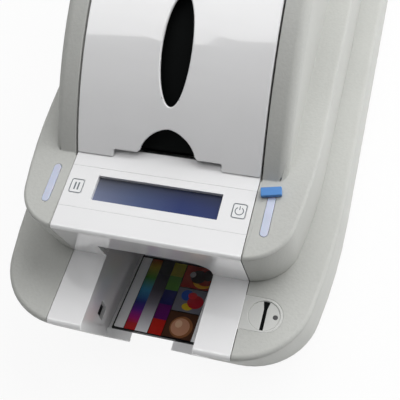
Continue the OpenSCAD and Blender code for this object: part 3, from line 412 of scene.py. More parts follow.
@dataclass
class Sheet:
    """A card's print as it is built up in a tree, ground first; places are in millimetres."""

    tree: Tree
    across: Socket
    along: Socket
    colour: Any

    def window(self, left: float, right: float, near: float, far: float) -> Socket:
        """Returns 1 inside a rectangle of the card and 0 elsewhere."""
        tests = [maths(self.tree, how, socket, edge)
                 for socket, low, high in ((self.across, left, right), (self.along, near, far))
                 for how, edge in (("GREATER_THAN", low), ("LESS_THAN", high))]
        mask = tests[0]
        for test in tests[1:]:
            mask = maths(self.tree, "MULTIPLY", mask, test)
        return mask

    def disc(self, spot: Spot) -> Socket:
        """Returns 1 inside a spot and 0 elsewhere."""
        dx = maths(self.tree, "SUBTRACT", self.across, spot.middle[0])
        dy = maths(self.tree, "SUBTRACT", self.along, spot.middle[1])
        dy = maths(self.tree, "MULTIPLY", dy, spot.squeeze)
        both = add_node(self.tree, "ShaderNodeCombineXYZ", {0: dx, 1: dy}).outputs[0]
        length = add_node(self.tree, "ShaderNodeVectorMath", {0: both}, operation="LENGTH")
        return maths(self.tree, "LESS_THAN", length.outputs["Value"], spot.radius)

    def lay(self, mask: Socket, colour: Any) -> None:
        """Prints a colour where the mask is 1."""
        self.colour = blend(self.tree, mask, self.colour, colour)

    def draw(self, picture: Picture, left: float, right: float) -> None:
        """Prints a picture between two places across the card."""
        border = self.window(left, right, picture.near, picture.far)
        self.lay(border, linear(picture.ground))
        for spot in picture.spots:
            self.lay(maths(self.tree, "MULTIPLY", self.disc(spot), border), linear(spot.colour))


@dataclass(frozen=True)
class CardPrint(Finish):
    """Dye print under a clear overlay: a generic sheet of colour tests on the piece's own map.

    The map runs in millimetres / 100, across the card from its left edge and along it from its
    front edge.
    """

    ink: str = "#0a0a0c"
    paper: str = "#f0f0f2"
    strip: Point2 = (0.8, 53.2)
    rows: Point2 = (0.8, 52.0)
    picture_x: Point2 = (28.6, 45.0)

    def column(self, tree: Tree, along: Socket, stops: Sequence[tuple[float, str]],
               step: bool = False) -> Socket:
        """Returns colours that change along the card; the stops are in millimetres."""
        share = maths(tree, "DIVIDE", along, CARD_L)
        return ramp(tree, share, [(place / CARD_L, linear(code)) for place, code in stops], step)

    def looks(self, tree: Tree) -> Inputs:
        """Builds the sheet: strips, a rainbow, greys, five patches and three plain pictures."""
        place = add_node(tree, "ShaderNodeUVMap").outputs[0]
        axes = add_node(tree, "ShaderNodeSeparateXYZ", {0: place})
        across, along = (maths(tree, "MULTIPLY", axes.outputs[k], MAP_MM) for k in (0, 1))
        rainbow = self.column(tree, along, RAINBOW)
        greys = self.column(tree, along, GREYS)
        patches = self.column(tree, along, PATCHES, step=True)
        paper = linear(self.paper)
        sheet = Sheet(tree, across, along, linear(self.ink))
        for left, right, colour in ((0.8, 6.5, paper), (6.9, 13.2, rainbow), (13.2, 20.3, greys),
                                    (20.7, 28.2, patches), (45.3, 53.2, paper)):
            sheet.lay(sheet.window(left, right, *self.rows), colour)
        for picture in (FRUIT_ON_A_CLOTH, PAINT_IN_WATER, LEAF_ON_RED):
            sheet.draw(picture, *self.picture_x)
        for near, far, code in ((53.2, 57.5, "#a4a4ac"), (59.0, 84.8, "#8c929c")):
            sheet.lay(sheet.window(*self.strip, near, far), linear(code))
        return {"Base Color": sheet.colour, "Coat Weight": 0.6, "Coat Roughness": 0.06,
                "Normal": self.bump(tree, self.noise(tree, 12.0, 1.0), 0.02)}


# Plastic from an eroded tool: pale warm grey, matt, fine grain that softens every highlight
CASE_GREY = MouldedPlastic("moulded ABS, warm grey", "case_grey", "#c3c4c0", 0.55, specular=0.2)
# The same plastic as the lock's seat and dial, a touch smoother
LOCK_GREY = MouldedPlastic("moulded ABS, warm grey, fine", "case_grey", "#cccdca", 0.45,
                           grain_mm=0.6, depth_mm=0.02)
# Polished moulding: clean white with soft mirror-like bands
GLOSS_WHITE = GlossPlastic("polished ABS, white", "gloss_white", "#f0f0f1", 0.14)
# Hopper lid: the same polished white, painted darker as shade because the lid lies square to the
# light
LID_WHITE_PAINTED_DARKER = GlossPlastic("polished ABS, white, painted darker", "gloss_white", "#d2d2d3", 0.14, coat=0.6)
# Inner mouldings: near black, half matt, they swallow light
INK_BLACK = MouldedPlastic("moulded ABS, black", "ink_black", "#101112", 0.55,
                           grain_mm=0.8, depth_mm=0.02, spread=0.1, specular=0.3)
# Flocked black liner: swallows nearly all light. The same near-black also fills the lock dial's
# slot as painted shade.
BLACK_LINER_AND_SLOT_SHADE = MouldedPlastic("flocked liner and painted slot shade, black", "ink_black", "#080a0a", 0.75,
                             grain_mm=0.5, depth_mm=0.01, spread=0.1, specular=0.06)
# Zinc-plated sheet steel: cool grey with rolling lines
STEEL = Metal("zinc-plated steel sheet", "steel", "#b8bcc0", 0.32)
# Ground steel shafts: brighter, with fine rings across
SHAFT_STEEL = Metal("ground steel bar", "steel", "#c4c6c8", 0.2, lines=(1.0, 0.3, 0.3), line_mm=0.3)
GOLD = Metal("gold-plated contact", "steel", "#d4a94a", 0.25)
# Ground rubber sleeves, belts and feet
RUBBER = Rubber("ground rubber, charcoal", "rubber", "#26282a", 0.8)
# Tacky silicone of the cleaning roller: blue, half glossy
ROLLER_BLUE = Rubber("tacky silicone, blue", "roller_blue", "#4f7fb8", 0.4, tooth_mm=1.2)
# Moulded blue lever tab: bright, half glossy
TAB_BLUE = GlossPlastic("moulded acetal, blue", "tab_blue", "#387fc6", 0.35, coat=0.15, wave_mm=8.0)
LIGHT = LightGuide("milky acrylic, pale blue", "light", "#c6cde2", 0.25)
DISPLAY = DisplayGlass("display behind clear acrylic", "display", "#192d66", 0.35)
BOARD = BoardMask("solder mask, green", "board_green", "#2f6b45", 0.4)
# Printed and blank cards
CARD_PRINT = CardPrint("dye print under clear overlay", "card", "#e6e6e2", 0.22)
CARD_EDGE = GlossPlastic("laminated PVC, black border", "ink_black", "#141416", 0.3, coat=0.2)
CARD_WHITE = GlossPlastic("laminated PVC, white", "card", "#eeeeec", 0.3, coat=0.2)
FILM = DyeFilm("dye ribbon film", "film", "#8e1f5c", 0.25)
MOTOR = MouldedPlastic("powder coat, dark grey", "motor_grey", "#3a3d40", 0.5,
                       grain_mm=1.1, depth_mm=0.04, spread=0.06)
SPOOL = MouldedPlastic("moulded ABS, mid grey", "spool_grey", "#55585c", 0.45)
CERAMIC = GlossPlastic("glazed alumina, cream", "ceramic", "#d8d4c8", 0.25)
# Screen-printed inks: slate grey key symbols, charcoal mark of the lock
KEY_INK = MouldedPlastic("screen print, slate grey", "case_grey", "#5c666c", 0.5,
                         depth_mm=0.01, spread=0.04)
DARK_INK = MouldedPlastic("screen print, charcoal", "ink_black", "#3c3c3e", 0.5, spread=0.04)


# ---- Mesh tools ----


@dataclass(frozen=True)
class Dress:
    """How a copy of a solid is dressed: how it is welded, broken at its edges and smoothed."""

    edge_mm: float = 0.0
    steps: int = 2
    smooth_deg: float = 34.0
    edge_deg: float = 40.0
    weld_mm: float = 0.03
    flat_deg: float = 0.4
    plain_past_y: float = math.inf


FINE = Dress()
MOULDED = Dress(0.4)
SOFT = Dress(0.35)
CRISP = Dress(0.2)


def shift(x: float, y: float, z: float) -> Matrix:
    """Returns a move that is given in millimetres."""
    return Matrix.Translation((x * MM, y * MM, z * MM))


def link(name: str, mesh: bpy.types.Mesh) -> Piece:
    """Makes an object at the origin that shows the mesh."""
    piece = bpy.data.objects.new(name, mesh)
    bpy.context.scene.collection.objects.link(piece)
    return piece


def baked(piece: Piece) -> Piece:
    """Applies every modifier of a piece by making a plain mesh of its evaluated form."""
    bpy.context.view_layer.update()
    graph = bpy.context.evaluated_depsgraph_get()
    mesh = bpy.data.meshes.new_from_object(
        piece.evaluated_get(graph), preserve_all_data_layers=True, depsgraph=graph)
    piece.modifiers.clear()
    old = piece.data
    piece.data = mesh
    mesh.name = piece.name
    bpy.data.meshes.remove(old)
    return piece


def to_mesh(form: Form, name: str) -> bpy.types.Mesh:
    """Turns a form into a new mesh and frees the form."""
    mesh = bpy.data.meshes.new(name)
    form.to_mesh(mesh)
    form.free()
    return mesh


def weigh_edges(mesh: bpy.types.Mesh, style: Dress) -> None:
    """Marks the sharp edges to break, up to a hinge's barrels, where there is no room for it."""
    form = bmesh.new()
    form.from_mesh(mesh)
    weight = form.edges.layers.float.new("bevel_weight_edge")
    for edge in form.edges:
        sharp = edge.is_manifold and edge.calc_face_angle() > math.radians(style.edge_deg)
        near = min(vert.co.y for vert in edge.verts) < style.plain_past_y * MM
        edge[weight] = 1.0 if sharp and near else 0.0
    form.to_mesh(mesh)
    form.free()


def finish_shading(piece: Piece, style: Dress) -> Piece:
    """Breaks the edges of a piece with a welded mesh, smooths its faces and bakes both."""
    mesh = piece.data
    mesh.polygons.foreach_set("use_smooth", [True] * len(mesh.polygons))
    if style.edge_mm > 0:
        bevel = piece.modifiers.new("broken edges", "BEVEL")
        bevel.width = style.edge_mm * MM
        bevel.segments = style.steps
        bevel.use_clamp_overlap = False
        bevel.miter_outer = "MITER_ARC"
        if math.isfinite(style.plain_past_y):
            bevel.limit_method = "WEIGHT"
            weigh_edges(mesh, style)
        else:
            bevel.limit_method = "ANGLE"
            bevel.angle_limit = math.radians(style.edge_deg)
        piece = baked(piece)
    piece.data.set_sharp_from_angle(angle=math.radians(style.smooth_deg))
    weigh = piece.modifiers.new("weighted normals", "WEIGHTED_NORMAL")
    weigh.keep_sharp = True
    return baked(piece)


def solid_copy(node: str, style: Dress, shape: Shaping | None) -> Piece:
    """Copies a solid's mesh, welds it, shapes it where asked to and makes it ready to render."""
    form = bmesh.new()
    form.from_mesh(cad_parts[node].data)
    bmesh.ops.remove_doubles(form, verts=form.verts, dist=style.weld_mm * MM)
    bmesh.ops.dissolve_degenerate(form, edges=form.edges, dist=style.weld_mm * MM)
    bmesh.ops.dissolve_limit(form, angle_limit=math.radians(style.flat_deg), verts=form.verts,
                             edges=form.edges, delimit={"NORMAL"})
    if shape is not None:
        shape(form)
    name = f"{node}-looks"
    mesh = to_mesh(form, name)
    mesh.materials.clear()
    return finish_shading(link(name, mesh), style)


def show(piece: Piece, finish: Finish, body: str = PRINTER, node: str | None = None) -> None:
    """Gives a piece its finish and its body, and reports it with the solid that it replaces."""
    if not piece.data.materials:
        piece.data.materials.append(finish.material())
    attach(piece, body)
    if node is not None:
        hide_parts(node)
    faces = len(piece.data.polygons)
    LOG.info("%s rides on %s: %d faces, %s", piece.name, body, faces, finish.name)


def dress_solid(node: str, finish: Finish, style: Dress = FINE, body: str = PRINTER,
                shape: Shaping | None = None) -> None:
    """Shows a dressed copy of a solid in its place."""
    show(solid_copy(node, style, shape), finish, body, node)


def rectangle(left: float, right: float, near: float, far: float) -> list[Point2]:
    """Returns the outline of a rectangle, anticlockwise."""
    return [(left, near), (right, near), (right, far), (left, far)]


def arc(radius: float, start: float, end: float, steps: int,
        middle: Point2 = (0.0, 0.0)) -> list[Point2]:
    """Returns points along an arc; the angles are in degrees."""
    turns = [math.radians(start + (end - start) * k / steps) for k in range(steps + 1)]
    return [(middle[0] + radius * math.cos(a), middle[1] + radius * math.sin(a)) for a in turns]


def circle(radius: float, steps: int, middle: Point2 = (0.0, 0.0)) -> list[Point2]:
    """Returns the outline of a circle, anticlockwise."""
    return arc(radius, 0, 360, steps, middle)[:-1]


def round_rect(width: float, length: float, radius: float) -> list[Point2]:
    """Returns the outline of a rectangle with round corners, anticlockwise, round the origin."""
    return [point for quarter, (sx, sy) in enumerate(((1, 1), (-1, 1), (-1, -1), (1, -1)))
            for point in arc(radius, 90 * quarter, 90 * (quarter + 1), steps=6,
                             middle=(sx * (width / 2 - radius), sy * (length / 2 - radius)))]


def add_prism(form: Form, outline: Sequence[Point2], low: float, high: float, place: Matrix,
              hole: Sequence[Point2] | None = None) -> None:
    """Adds a closed flat plate to a mesh.

    Args:
        form: Mesh that receives it.
        outline: Anticlockwise outline in millimetres.
        low: Lower face in millimetres.
        high: Upper face in millimetres.
        place: Frame of the plate, in metres.
        hole: Outline of a hole with as many points as the outline.
    """

    def ring(points: Sequence[Point2], level: float) -> list[bmesh.types.BMVert]:
        return [form.verts.new(place @ Vector((x * MM, y * MM, level * MM))) for x, y in points]

    lower, upper = ring(outline, low), ring(outline, high)
    count = len(outline)
    for k in range(count):
        form.faces.new((lower[k], lower[(k + 1) % count], upper[(k + 1) % count], upper[k]))
    if hole is None:
        form.faces.new(upper)
        form.faces.new(lower[::-1])
        return
    inner_low, inner_high = ring(hole, low), ring(hole, high)
    for k in range(count):
        n = (k + 1) % count
        form.faces.new((upper[k], upper[n], inner_high[n], inner_high[k]))
        form.faces.new((lower[n], lower[k], inner_low[k], inner_low[n]))
        form.faces.new((inner_high[k], inner_high[n], inner_low[n], inner_low[k]))


def made(name: str, build: Shaping) -> Piece:
    """Makes a piece from a function that fills a mesh."""
    form = bmesh.new()
    build(form)
    bmesh.ops.recalc_face_normals(form, faces=form.faces)
    return finish_shading(link(name, to_mesh(form, name)), FINE)


# ---- Repeats ----


@dataclass(frozen=True)
class Repeat:
    """A Geometry Nodes tree that puts one small block on every point of a piece."""

    name: str
    finish: Finish
    sizes: tuple[str, ...] = ("Width", "Length", "Height")

    def tree(self) -> Tree:
        """Builds the tree: the block's size is three named inputs, and nothing in it is random."""
        tree = bpy.data.node_groups.new(self.name, "GeometryNodeTree")
        tree.interface.new_socket("Geometry", in_out="INPUT", socket_type="NodeSocketGeometry")
        for label in self.sizes:
            tree.interface.new_socket(label, in_out="INPUT", socket_type="NodeSocketFloat")
        tree.interface.new_socket("Geometry", in_out="OUTPUT", socket_type="NodeSocketGeometry")
        entry = add_node(tree, "NodeGroupInput")
        sides = {k: entry.outputs[label] for k, label in enumerate(self.sizes)}
        size = add_node(tree, "ShaderNodeCombineXYZ", sides)
        block = add_node(tree, "GeometryNodeMeshCube", {"Size": (1.0, 1.0, 1.0)})
        instances = add_node(tree, "GeometryNodeInstanceOnPoints",
                             {"Points": entry.outputs["Geometry"],
                              "Instance": block.outputs["Mesh"], "Scale": size.outputs[0]})
        real = add_node(tree, "GeometryNodeRealizeInstances", {"Geometry": instances.outputs[0]})
        dressed = add_node(tree, "GeometryNodeSetMaterial",
                           {"Geometry": real.outputs[0], "Material": self.finish.material()})
        add_node(tree, "NodeGroupOutput", {"Geometry": dressed.outputs[0]})
        return tree

    def show_at(self, name: str, points: Sequence[Point3], size: Point3) -> None:
        """Puts a block on every point, bakes the result and shows it; sizes are in millimetres."""
        mesh = bpy.data.meshes.new(name)
        mesh.from_pydata([(x * MM, y * MM, z * MM) for x, y, z in points], [], [])
        piece = link(name, mesh)
        modifier = piece.modifiers.new("repeat", "NODES")
        modifier.node_group = self.tree()
        values = dict(zip(self.sizes, (s * MM for s in size)))
        for item in modifier.node_group.interface.items_tree:
            if item.in_out == "INPUT" and item.name in values:
                modifier[item.identifier] = values[item.name]
        show(baked(piece), self.finish)


# ---- Sub-assemblies ----


@dataclass(frozen=True)
class FingerNotch:
    """The notch that a finger lifts the cards through: its sides spread towards the foot."""

    middle: float = -2.6
    half_w: float = 11.5
    flare: float = 5.0
    spread: float = 4.0
    top_z: float = 28.0
    rear_y: float = -163.0
    walls: tuple[float, ...] = (0.0, 2.2, 2.5)
    near: float = 0.06

    def side(self, z: float, wall: float) -> float:
        """Returns how far a wall stands from the notch's middle at a height, before the spread."""
        return self.half_w + wall + self.flare * (1 - z / self.top_z)

    def open_up(self, form: Form) -> None:
        """Spreads the sides of a moulding's notch, most at the foot."""
        for vert in form.verts:
            x, y, z = (c / MM for c in vert.co)
            if y >= self.rear_y or z >= self.top_z:
                continue
            reach = abs(x - self.middle)
            if any(abs(reach - self.side(z, wall)) < self.near for wall in self.walls):
                vert.co.x += math.copysign(self.spread * (1 - z / self.top_z), x - self.middle) * MM


NOTCH = FingerNotch()


class Solid(NamedTuple):
    """A solid of the frame with its finish, its edges, its body and what is done to its form."""

    node: str
    finish: Finish
    edge: Dress = FINE
    body: str = PRINTER
    shape: Shaping | None = None


@dataclass(frozen=True)
class Group:
    """A sub-assembly that needs nothing but its solids dressed."""

    solids: tuple[Solid, ...]

    def build(self) -> None:
        """Dresses the solids in turn."""
        for solid in self.solids:
            dress_solid(*solid)


BASE_CASE = Group((
    Solid("lower_case", CASE_GREY, MOULDED, shape=NOTCH.open_up),
    Solid("bottom_plate", CASE_GREY, SOFT, shape=NOTCH.open_up),
    Solid("rubber_feet", RUBBER, Dress(0.5)),
    Solid("case_screws", STEEL, CRISP),
    Solid("rear_panel", INK_BLACK, CRISP)))
UPPER_CASE = Group((Solid("upper_case", CASE_GREY, MOULDED),))


@dataclass
class OutputTray:
    """Glossy tray between the shoulders, with its sensor and the finished cards."""

    edge: Dress = Dress(0.15)
    lip_y: float = -176.8
    floor_z: float = 25.4
    tilt: float = 12.0
    card_y: float = 0.5
    stack: float = 1.56
    corner: float = 3.18
    rim: float = 0.15
    print_t: float = 0.03

    def floor(self) -> Matrix:
        """Returns the tray floor's frame: y = 0 at the lip, running down to the rear."""
        slope = Matrix.Rotation(math.radians(-self.tilt), 4, "X")
        return shift(0, self.lip_y, self.floor_z) @ slope

    def printed_face(self) -> Piece:
        """Makes the thin printed layer on the top card, with its map in millimetres / 100."""
        place = self.floor()
        card = round_rect(CARD_W - 2 * self.rim, CARD_L - 2 * self.rim, self.corner)
        outline = [(x, y + (self.card_y + CARD_L / 2)) for x, y in card]

        def build(form: Form) -> None:
            add_prism(form, outline, self.stack, self.stack + self.print_t, place)

        piece = made("card-print", build)
        layer = piece.data.uv_layers.new(name="card")
        back = place.inverted()
        for loop in piece.data.loops:
            at = back @ piece.data.vertices[loop.vertex_index].co
            across, along = at.x / MM + CARD_W / 2, at.y / MM - self.card_y
            layer.data[loop.index].uv = (across / MAP_MM, along / MAP_MM)
        return piece

    def build(self) -> None:
        """Dresses the tray."""
        dress_solid("tray_liner", GLOSS_WHITE, self.edge, shape=NOTCH.open_up)
        dress_solid("tray_sensor", INK_BLACK, CRISP)
        dress_solid("finished_cards", CARD_EDGE)
        show(self.printed_face(), CARD_PRINT)


@dataclass
class ControlPanel:
    """Centre band on the sloping deck, with the display, the two keys and the light strips."""

    edge: Dress = Dress(0.1)
    front_y: float = -159.4
    front_z: float = 100.0
    slope: float = 4.0
    key_at: Point2 = (41.8, -135.0)
    frame_w: float = 6.8
    frame_l: float = 7.8
    line: float = 0.38
    corners: Point2 = (1.2, 0.8)
    ink_z: Point2 = (-0.02, 0.03)
    # Symbols round the middle of a key: two bars, and a ring open at the rear round a stroke
    bars_x: Point2 = (-0.9, 0.9)
    bar_half: Point2 = (0.38, 2.1)
    ring_r: Point2 = (2.225, 1.775)
    ring_deg: Point2 = (120, 420)
    stroke: tuple[float, ...] = (-0.22, 0.22, 0.6, 2.7)
    seams: Point2 = (-146.73, -123.2)
    seam_w: float = 47.7
    tongue_w: float = 0.6
    tongue_z: Point2 = (-1.6, -0.22)

    def deck(self) -> Matrix:
        """Returns the deck's frame: y as on the level, z = 0 on the surface."""
        turn = Matrix.Rotation(math.radians(self.slope), 4, "X")
        return shift(0, self.front_y, self.front_z) @ turn @ shift(0, -self.front_y, 0)

    def symbol(self, name: str, side: int, shapes: Sequence[Sequence[Point2]]) -> Piece:
        """Makes the printed frame of a key, with its symbol's outlines round the key's middle.

        Args:
            name: Name of the piece.
            side: -1 for the left key, 1 for the right key.
            shapes: Outlines in millimetres.
        """
        place = self.deck() @ shift(side * self.key_at[0], self.key_at[1], 0)
        outer = round_rect(self.frame_w, self.frame_l, self.corners[0])
        inner = round_rect(self.frame_w - 2 * self.line, self.frame_l - 2 * self.line,
                           self.corners[1])

        def build(form: Form) -> None:
            add_prism(form, outer, *self.ink_z, place, inner)
            for shape in shapes:
                add_prism(form, shape, *self.ink_z, place)

        return made(name, build)

    def tongues(self) -> Piece:
        """Makes the tongues that close the seams between the band's three mouldings from below."""

        def build(form: Form) -> None:
            for y in self.seams:
                outline = rectangle(-self.seam_w, self.seam_w, y - self.tongue_w, y + self.tongue_w)
                add_prism(form, outline, *self.tongue_z, self.deck())

        return made("seam-tongues", build)

    def build(self) -> None:
        """Dresses the band."""
        for node in ("front_fascia", "control_panel", "panel_ramp"):
            dress_solid(node, GLOSS_WHITE, self.edge)
        show(self.tongues(), GLOSS_WHITE)
        dress_solid("display_window", DISPLAY)
        dress_solid("display_module", BOARD)
        dress_solid("light_strips", LIGHT, CRISP)
        dress_solid("pause_key", GLOSS_WHITE, CRISP, "pause_key")
        dress_solid("power_key", GLOSS_WHITE, CRISP, "power_key")
        half_w, half_l = self.bar_half
        bars = [rectangle(x - half_w, x + half_w, -half_l, half_l) for x in self.bars_x]
        show(self.symbol("pause-symbol", -1, bars), KEY_INK, "pause_key")
        outer, inner = (arc(radius, *self.ring_deg, steps=24) for radius in self.ring_r)
        power = (outer + inner[::-1], rectangle(*self.stroke))
        show(self.symbol("power-symbol", 1, power), KEY_INK, "power_key")


# The cover's edges are broken up to the barrels of its hinge, where there is no room for it
FRONT_COVER = Group((
    Solid("front_cover", GLOSS_WHITE, Dress(0.8, steps=3, plain_past_y=18.5), "front_cover"),
    Solid("cover_liner", BLACK_LINER_AND_SLOT_SHADE, FINE, "front_cover"),
    Solid("hinge_pins", SHAFT_STEEL)))
HOPPER_LID = Group((Solid("hopper_lid", LID_WHITE_PAINTED_DARKER, MOULDED, "hopper_lid"),))


@dataclass
class LockAndLever:
    """Tray lock on the right shoulder and the blue release lever on the deck."""

    lock_at: Point2 = (59.0, -168.5)
    dial_z: float = 63.6
    dial_r: float = 7.7
    slot: tuple[Point2, ...] = ((-0.85, -7.65), (0.85, -7.65), (0.85, 3.6), (1.66, 7.5),
                                (-1.66, 7.5), (-0.85, 3.6))
    # Heights of the near-black plate in the slot that paints its shade, below the dial's top
    slot_z: Point2 = (-2.2, -0.3)
    dot_at: Point2 = (5.5, 0.2)
    dot_r: float = 1.24
    dot_z: Point2 = (-0.55, -0.12)
    seat_top: float = 64.0
    seat_r: float = 8.9
    seat_left: float = 48.1
    # How far each lip reaches out and in, then its foot and its top
    seat_lip: tuple[float, ...] = (0.32, -0.6, -1.0, -0.16)
    dial_lip: tuple[float, ...] = (0.6, 0.02, -1.4, -0.5)

    def painted_slot_shade(self) -> Piece:
        """Makes the near-black plate in the dial's slot that paints the shade deep in it."""
        place = shift(*self.lock_at, self.dial_z)
        return made("painted-slot-shade", lambda form: add_prism(form, self.slot, *self.slot_z, place))

    def seat_outline(self, grow: float) -> list[Point2]:
        """Returns the outline of the seat, grown all round: a half circle on a rectangle."""
        reach, left, y = self.seat_r + grow, self.seat_left - grow, self.lock_at[1]
        nose = arc(reach, -90, 90, steps=30, middle=self.lock_at)
        return [(left, y - reach), *nose, (left, y + reach)]

    def gaskets(self) -> Piece:
        """Makes the thin lips that close the seat's gaps to the case and the dial from below."""
        place = shift(0, 0, self.seat_top)

        def round_dial(grow: float) -> list[Point2]:
            return circle(self.dial_r + grow, steps=48, middle=self.lock_at)

        def build(form: Form) -> None:
            for outline, lip in ((self.seat_outline, self.seat_lip), (round_dial, self.dial_lip)):
                out, inward, low, high = lip
                add_prism(form, outline(out), low, high, place, outline(inward))

        return made("seat-gaskets", build)

    def mark(self) -> Piece:
        """Makes the dark round mark beside the slot."""
        x, y = (a + b for a, b in zip(self.lock_at, self.dot_at))
        place = shift(x, y, self.dial_z)
        dot = circle(self.dot_r, steps=24)
        return made("lock-mark", lambda form: add_prism(form, dot, *self.dot_z, place))

    def build(self) -> None:
        """Dresses the lock and the lever."""
        dress_solid("lock_seat", LOCK_GREY, CRISP)
        dress_solid("lock_dial", LOCK_GREY, CRISP, "lock_dial")
        show(self.gaskets(), LOCK_GREY)
        # A near-black plate just below the dial's top paints the shade deep in its slot
        show(self.painted_slot_shade(), BLACK_LINER_AND_SLOT_SHADE, "lock_dial")
        show(self.mark(), DARK_INK, "lock_dial")
        dress_solid("release_tab", TAB_BLUE, SOFT, "release_lever")
        dress_solid("latch_arm", STEEL, CRISP, "release_lever")


@dataclass
class CardPath:
    """Side frames, guide plate, rollers, belts and the motor."""

    roller_z: float = 69.7
    first_shaft: float = -80.81
    last_shaft: float = 57.19
    belt_x: float = -48.7
    belt_in: float = 6.8
    tooth: Point3 = (5.0, 1.4, 0.24)
    tooth_pitch: float = 3.0

    def show_belt_teeth(self) -> None:
        """Makes the teeth inside the two straight runs of the drive belt."""
        count = int((self.last_shaft - self.first_shaft) / self.tooth_pitch)
        reach = self.belt_in - self.tooth[2] / 2
        points = [(self.belt_x, self.first_shaft + (k + 0.5) * self.tooth_pitch,
                   self.roller_z + side * reach) for side in (-1, 1) for k in range(count)]
        Repeat("teeth along a belt", RUBBER).show_at("belt-teeth", points, self.tooth)

    def build(self) -> None:
        """Dresses the card path."""
        for node in ("left_frame", "right_frame", "card_guide"):
            dress_solid(node, STEEL)
        for name in ("exit", "platen", "feed", "pick"):
            dress_solid(f"{name}_shaft", SHAFT_STEEL, CRISP, f"{name}_shaft")
            dress_solid(f"{name}_roller", RUBBER, CRISP, f"{name}_shaft")
        dress_solid("cleaning_roller", ROLLER_BLUE, CRISP, "cleaning_roller")
        for name in ("exit_idler", "feed_idler"):
            dress_solid(name, RUBBER, CRISP, name)
        for node in ("drive_belt", "motor_belt"):
            dress_solid(node, RUBBER)
        self.show_belt_teeth()
        dress_solid("drive_motor", MOTOR, CRISP)
        dress_solid("motor_pulley", SHAFT_STEEL, CRISP, "motor_pulley")


RIBBON_DRIVE = Group((
    Solid("cartridge_frame", INK_BLACK, CRISP),
    Solid("supply_spool", SPOOL, CRISP, "supply_spool"),
    Solid("takeup_spool", SPOOL, CRISP, "takeup_spool"),
    Solid("ribbon_film", FILM),
    Solid("print_head", CERAMIC, CRISP, "print_head"),
    Solid("head_arm", STEEL, CRISP, "print_head")))
MAGAZINE = Group((
    Solid("card_magazine", INK_BLACK, CRISP),
    Solid("blank_cards", CARD_WHITE),
    Solid("card_weight", INK_BLACK, SOFT, "card_weight")))


class Chip(NamedTuple):
    """A chip on the main board: its middle and its width."""

    x: float
    y: float
    width: float


class Port(NamedTuple):
    """A data port: its middle, and the number, pitch and height of its contacts."""

    x: float
    count: int
    pitch: float
    rise: float


@dataclass
class Electronics:
    """Main board, sockets, switch and fan."""

    chips: tuple[Chip, ...] = (Chip(-14.0, 43.19, 16.0), Chip(14.0, 77.19, 12.0))
    board_top: float = 12.6
    pin: Point3 = (1.4, 0.5, 0.3)
    pin_pitch: float = 1.25
    pin_out: float = 0.6
    chip_rim: float = 2.0
    ports: tuple[Port, ...] = (Port(-5.0, 4, 1.7, 3.55), Port(9.0, 8, 1.2, 3.95))
    port_y: float = 184.0
    port_z: float = 32.0
    blade: Point3 = (0.7, 9.0, 0.35)

    def row(self, middle: float, count: int, pitch: float) -> list[float]:
        """Returns evenly spaced places round a middle."""
        return [middle + (k - (count - 1) / 2) * pitch for k in range(count)]

    def show_chip_pins(self) -> None:
        """Makes the tin-plated pins along both sides of each chip."""
        z = self.board_top + self.pin[2] / 2
        points: list[Point3] = []
        for chip in self.chips:
            count = int((chip.width - self.chip_rim) / self.pin_pitch)
            points += [(chip.x + side * (chip.width / 2 + self.pin_out), y, z)
                       for side in (-1, 1) for y in self.row(chip.y, count, self.pin_pitch)]
        Repeat("pins of a chip", STEEL).show_at("chip-pins", points, self.pin)

    def show_port_contacts(self) -> None:
        """Makes the gold-plated blades under the roof of both data ports."""
        points = [(x, self.port_y, self.port_z + port.rise) for port in self.ports
                  for x in self.row(port.x, port.count, port.pitch)]
        Repeat("contact blades", GOLD).show_at("port-contacts", points, self.blade)

    def build(self) -> None:
        """Dresses the electronics."""
        self.show_chip_pins()
        self.show_port_contacts()
        dress_solid("main_board", BOARD)
        dress_solid("data_ports", STEEL, CRISP)
        dress_solid("power_socket", INK_BLACK, CRISP)
        dress_solid("power_switch", INK_BLACK, CRISP, "power_switch")
        dress_solid("fan_housing", INK_BLACK, CRISP)
        dress_solid("fan_rotor", INK_BLACK, FINE, "fan_rotor")


# ---- Studio ----


@dataclass(frozen=True)
class Softbox:
    """A soft lamp: its place, the point it looks at, its size in metres, its power and its turn."""

    name: str
    at: Point3
    look: Point3
    size: Point2
    watts: float
    turn_deg: float = 0.0

    def build(self) -> None:
        """Places the lamp."""
        data = bpy.data.lights.new(self.name, "AREA")
        data.shape = "RECTANGLE"
        data.size, data.size_y = self.size
        data.energy = self.watts
        lamp = bpy.data.objects.new(self.name, data)
        lamp.location = self.at
        aim = (Vector(self.look) - Vector(self.at)).to_track_quat("-Z", "Y").to_matrix()
        turn = Matrix.Rotation(math.radians(self.turn_deg), 3, "Z")
        lamp.rotation_euler = (aim @ turn).to_euler()
        bpy.context.scene.collection.objects.link(lamp)


@dataclass(frozen=True)
class Screen:
    """A dark felt screen beside the printer that keeps one of its sides in the shade."""

    name: str
    start: Point2
    end: Point2
    top: float
    foot: float = 0.02
    felt: Colour = (0.1, 0.1, 0.1, 1)

    def build(self) -> None:
        """Stands the screen up, out of the picture and out of every mirror."""
        corners = [(*self.start, self.foot), (*self.end, self.foot),
                   (*self.end, self.top), (*self.start, self.top)]
        mesh = bpy.data.meshes.new(self.name)
        mesh.from_pydata(corners, [], [(0, 1, 2, 3)])
        screen = link(self.name, mesh)
        screen.visible_camera = False
        screen.visible_glossy = False
        material, tree = new_material(f"{self.name}, dark grey felt")
        set_surface(tree, add_node(tree, "ShaderNodeBsdfDiffuse", {"Color": self.felt}))
        mesh.materials.append(material)


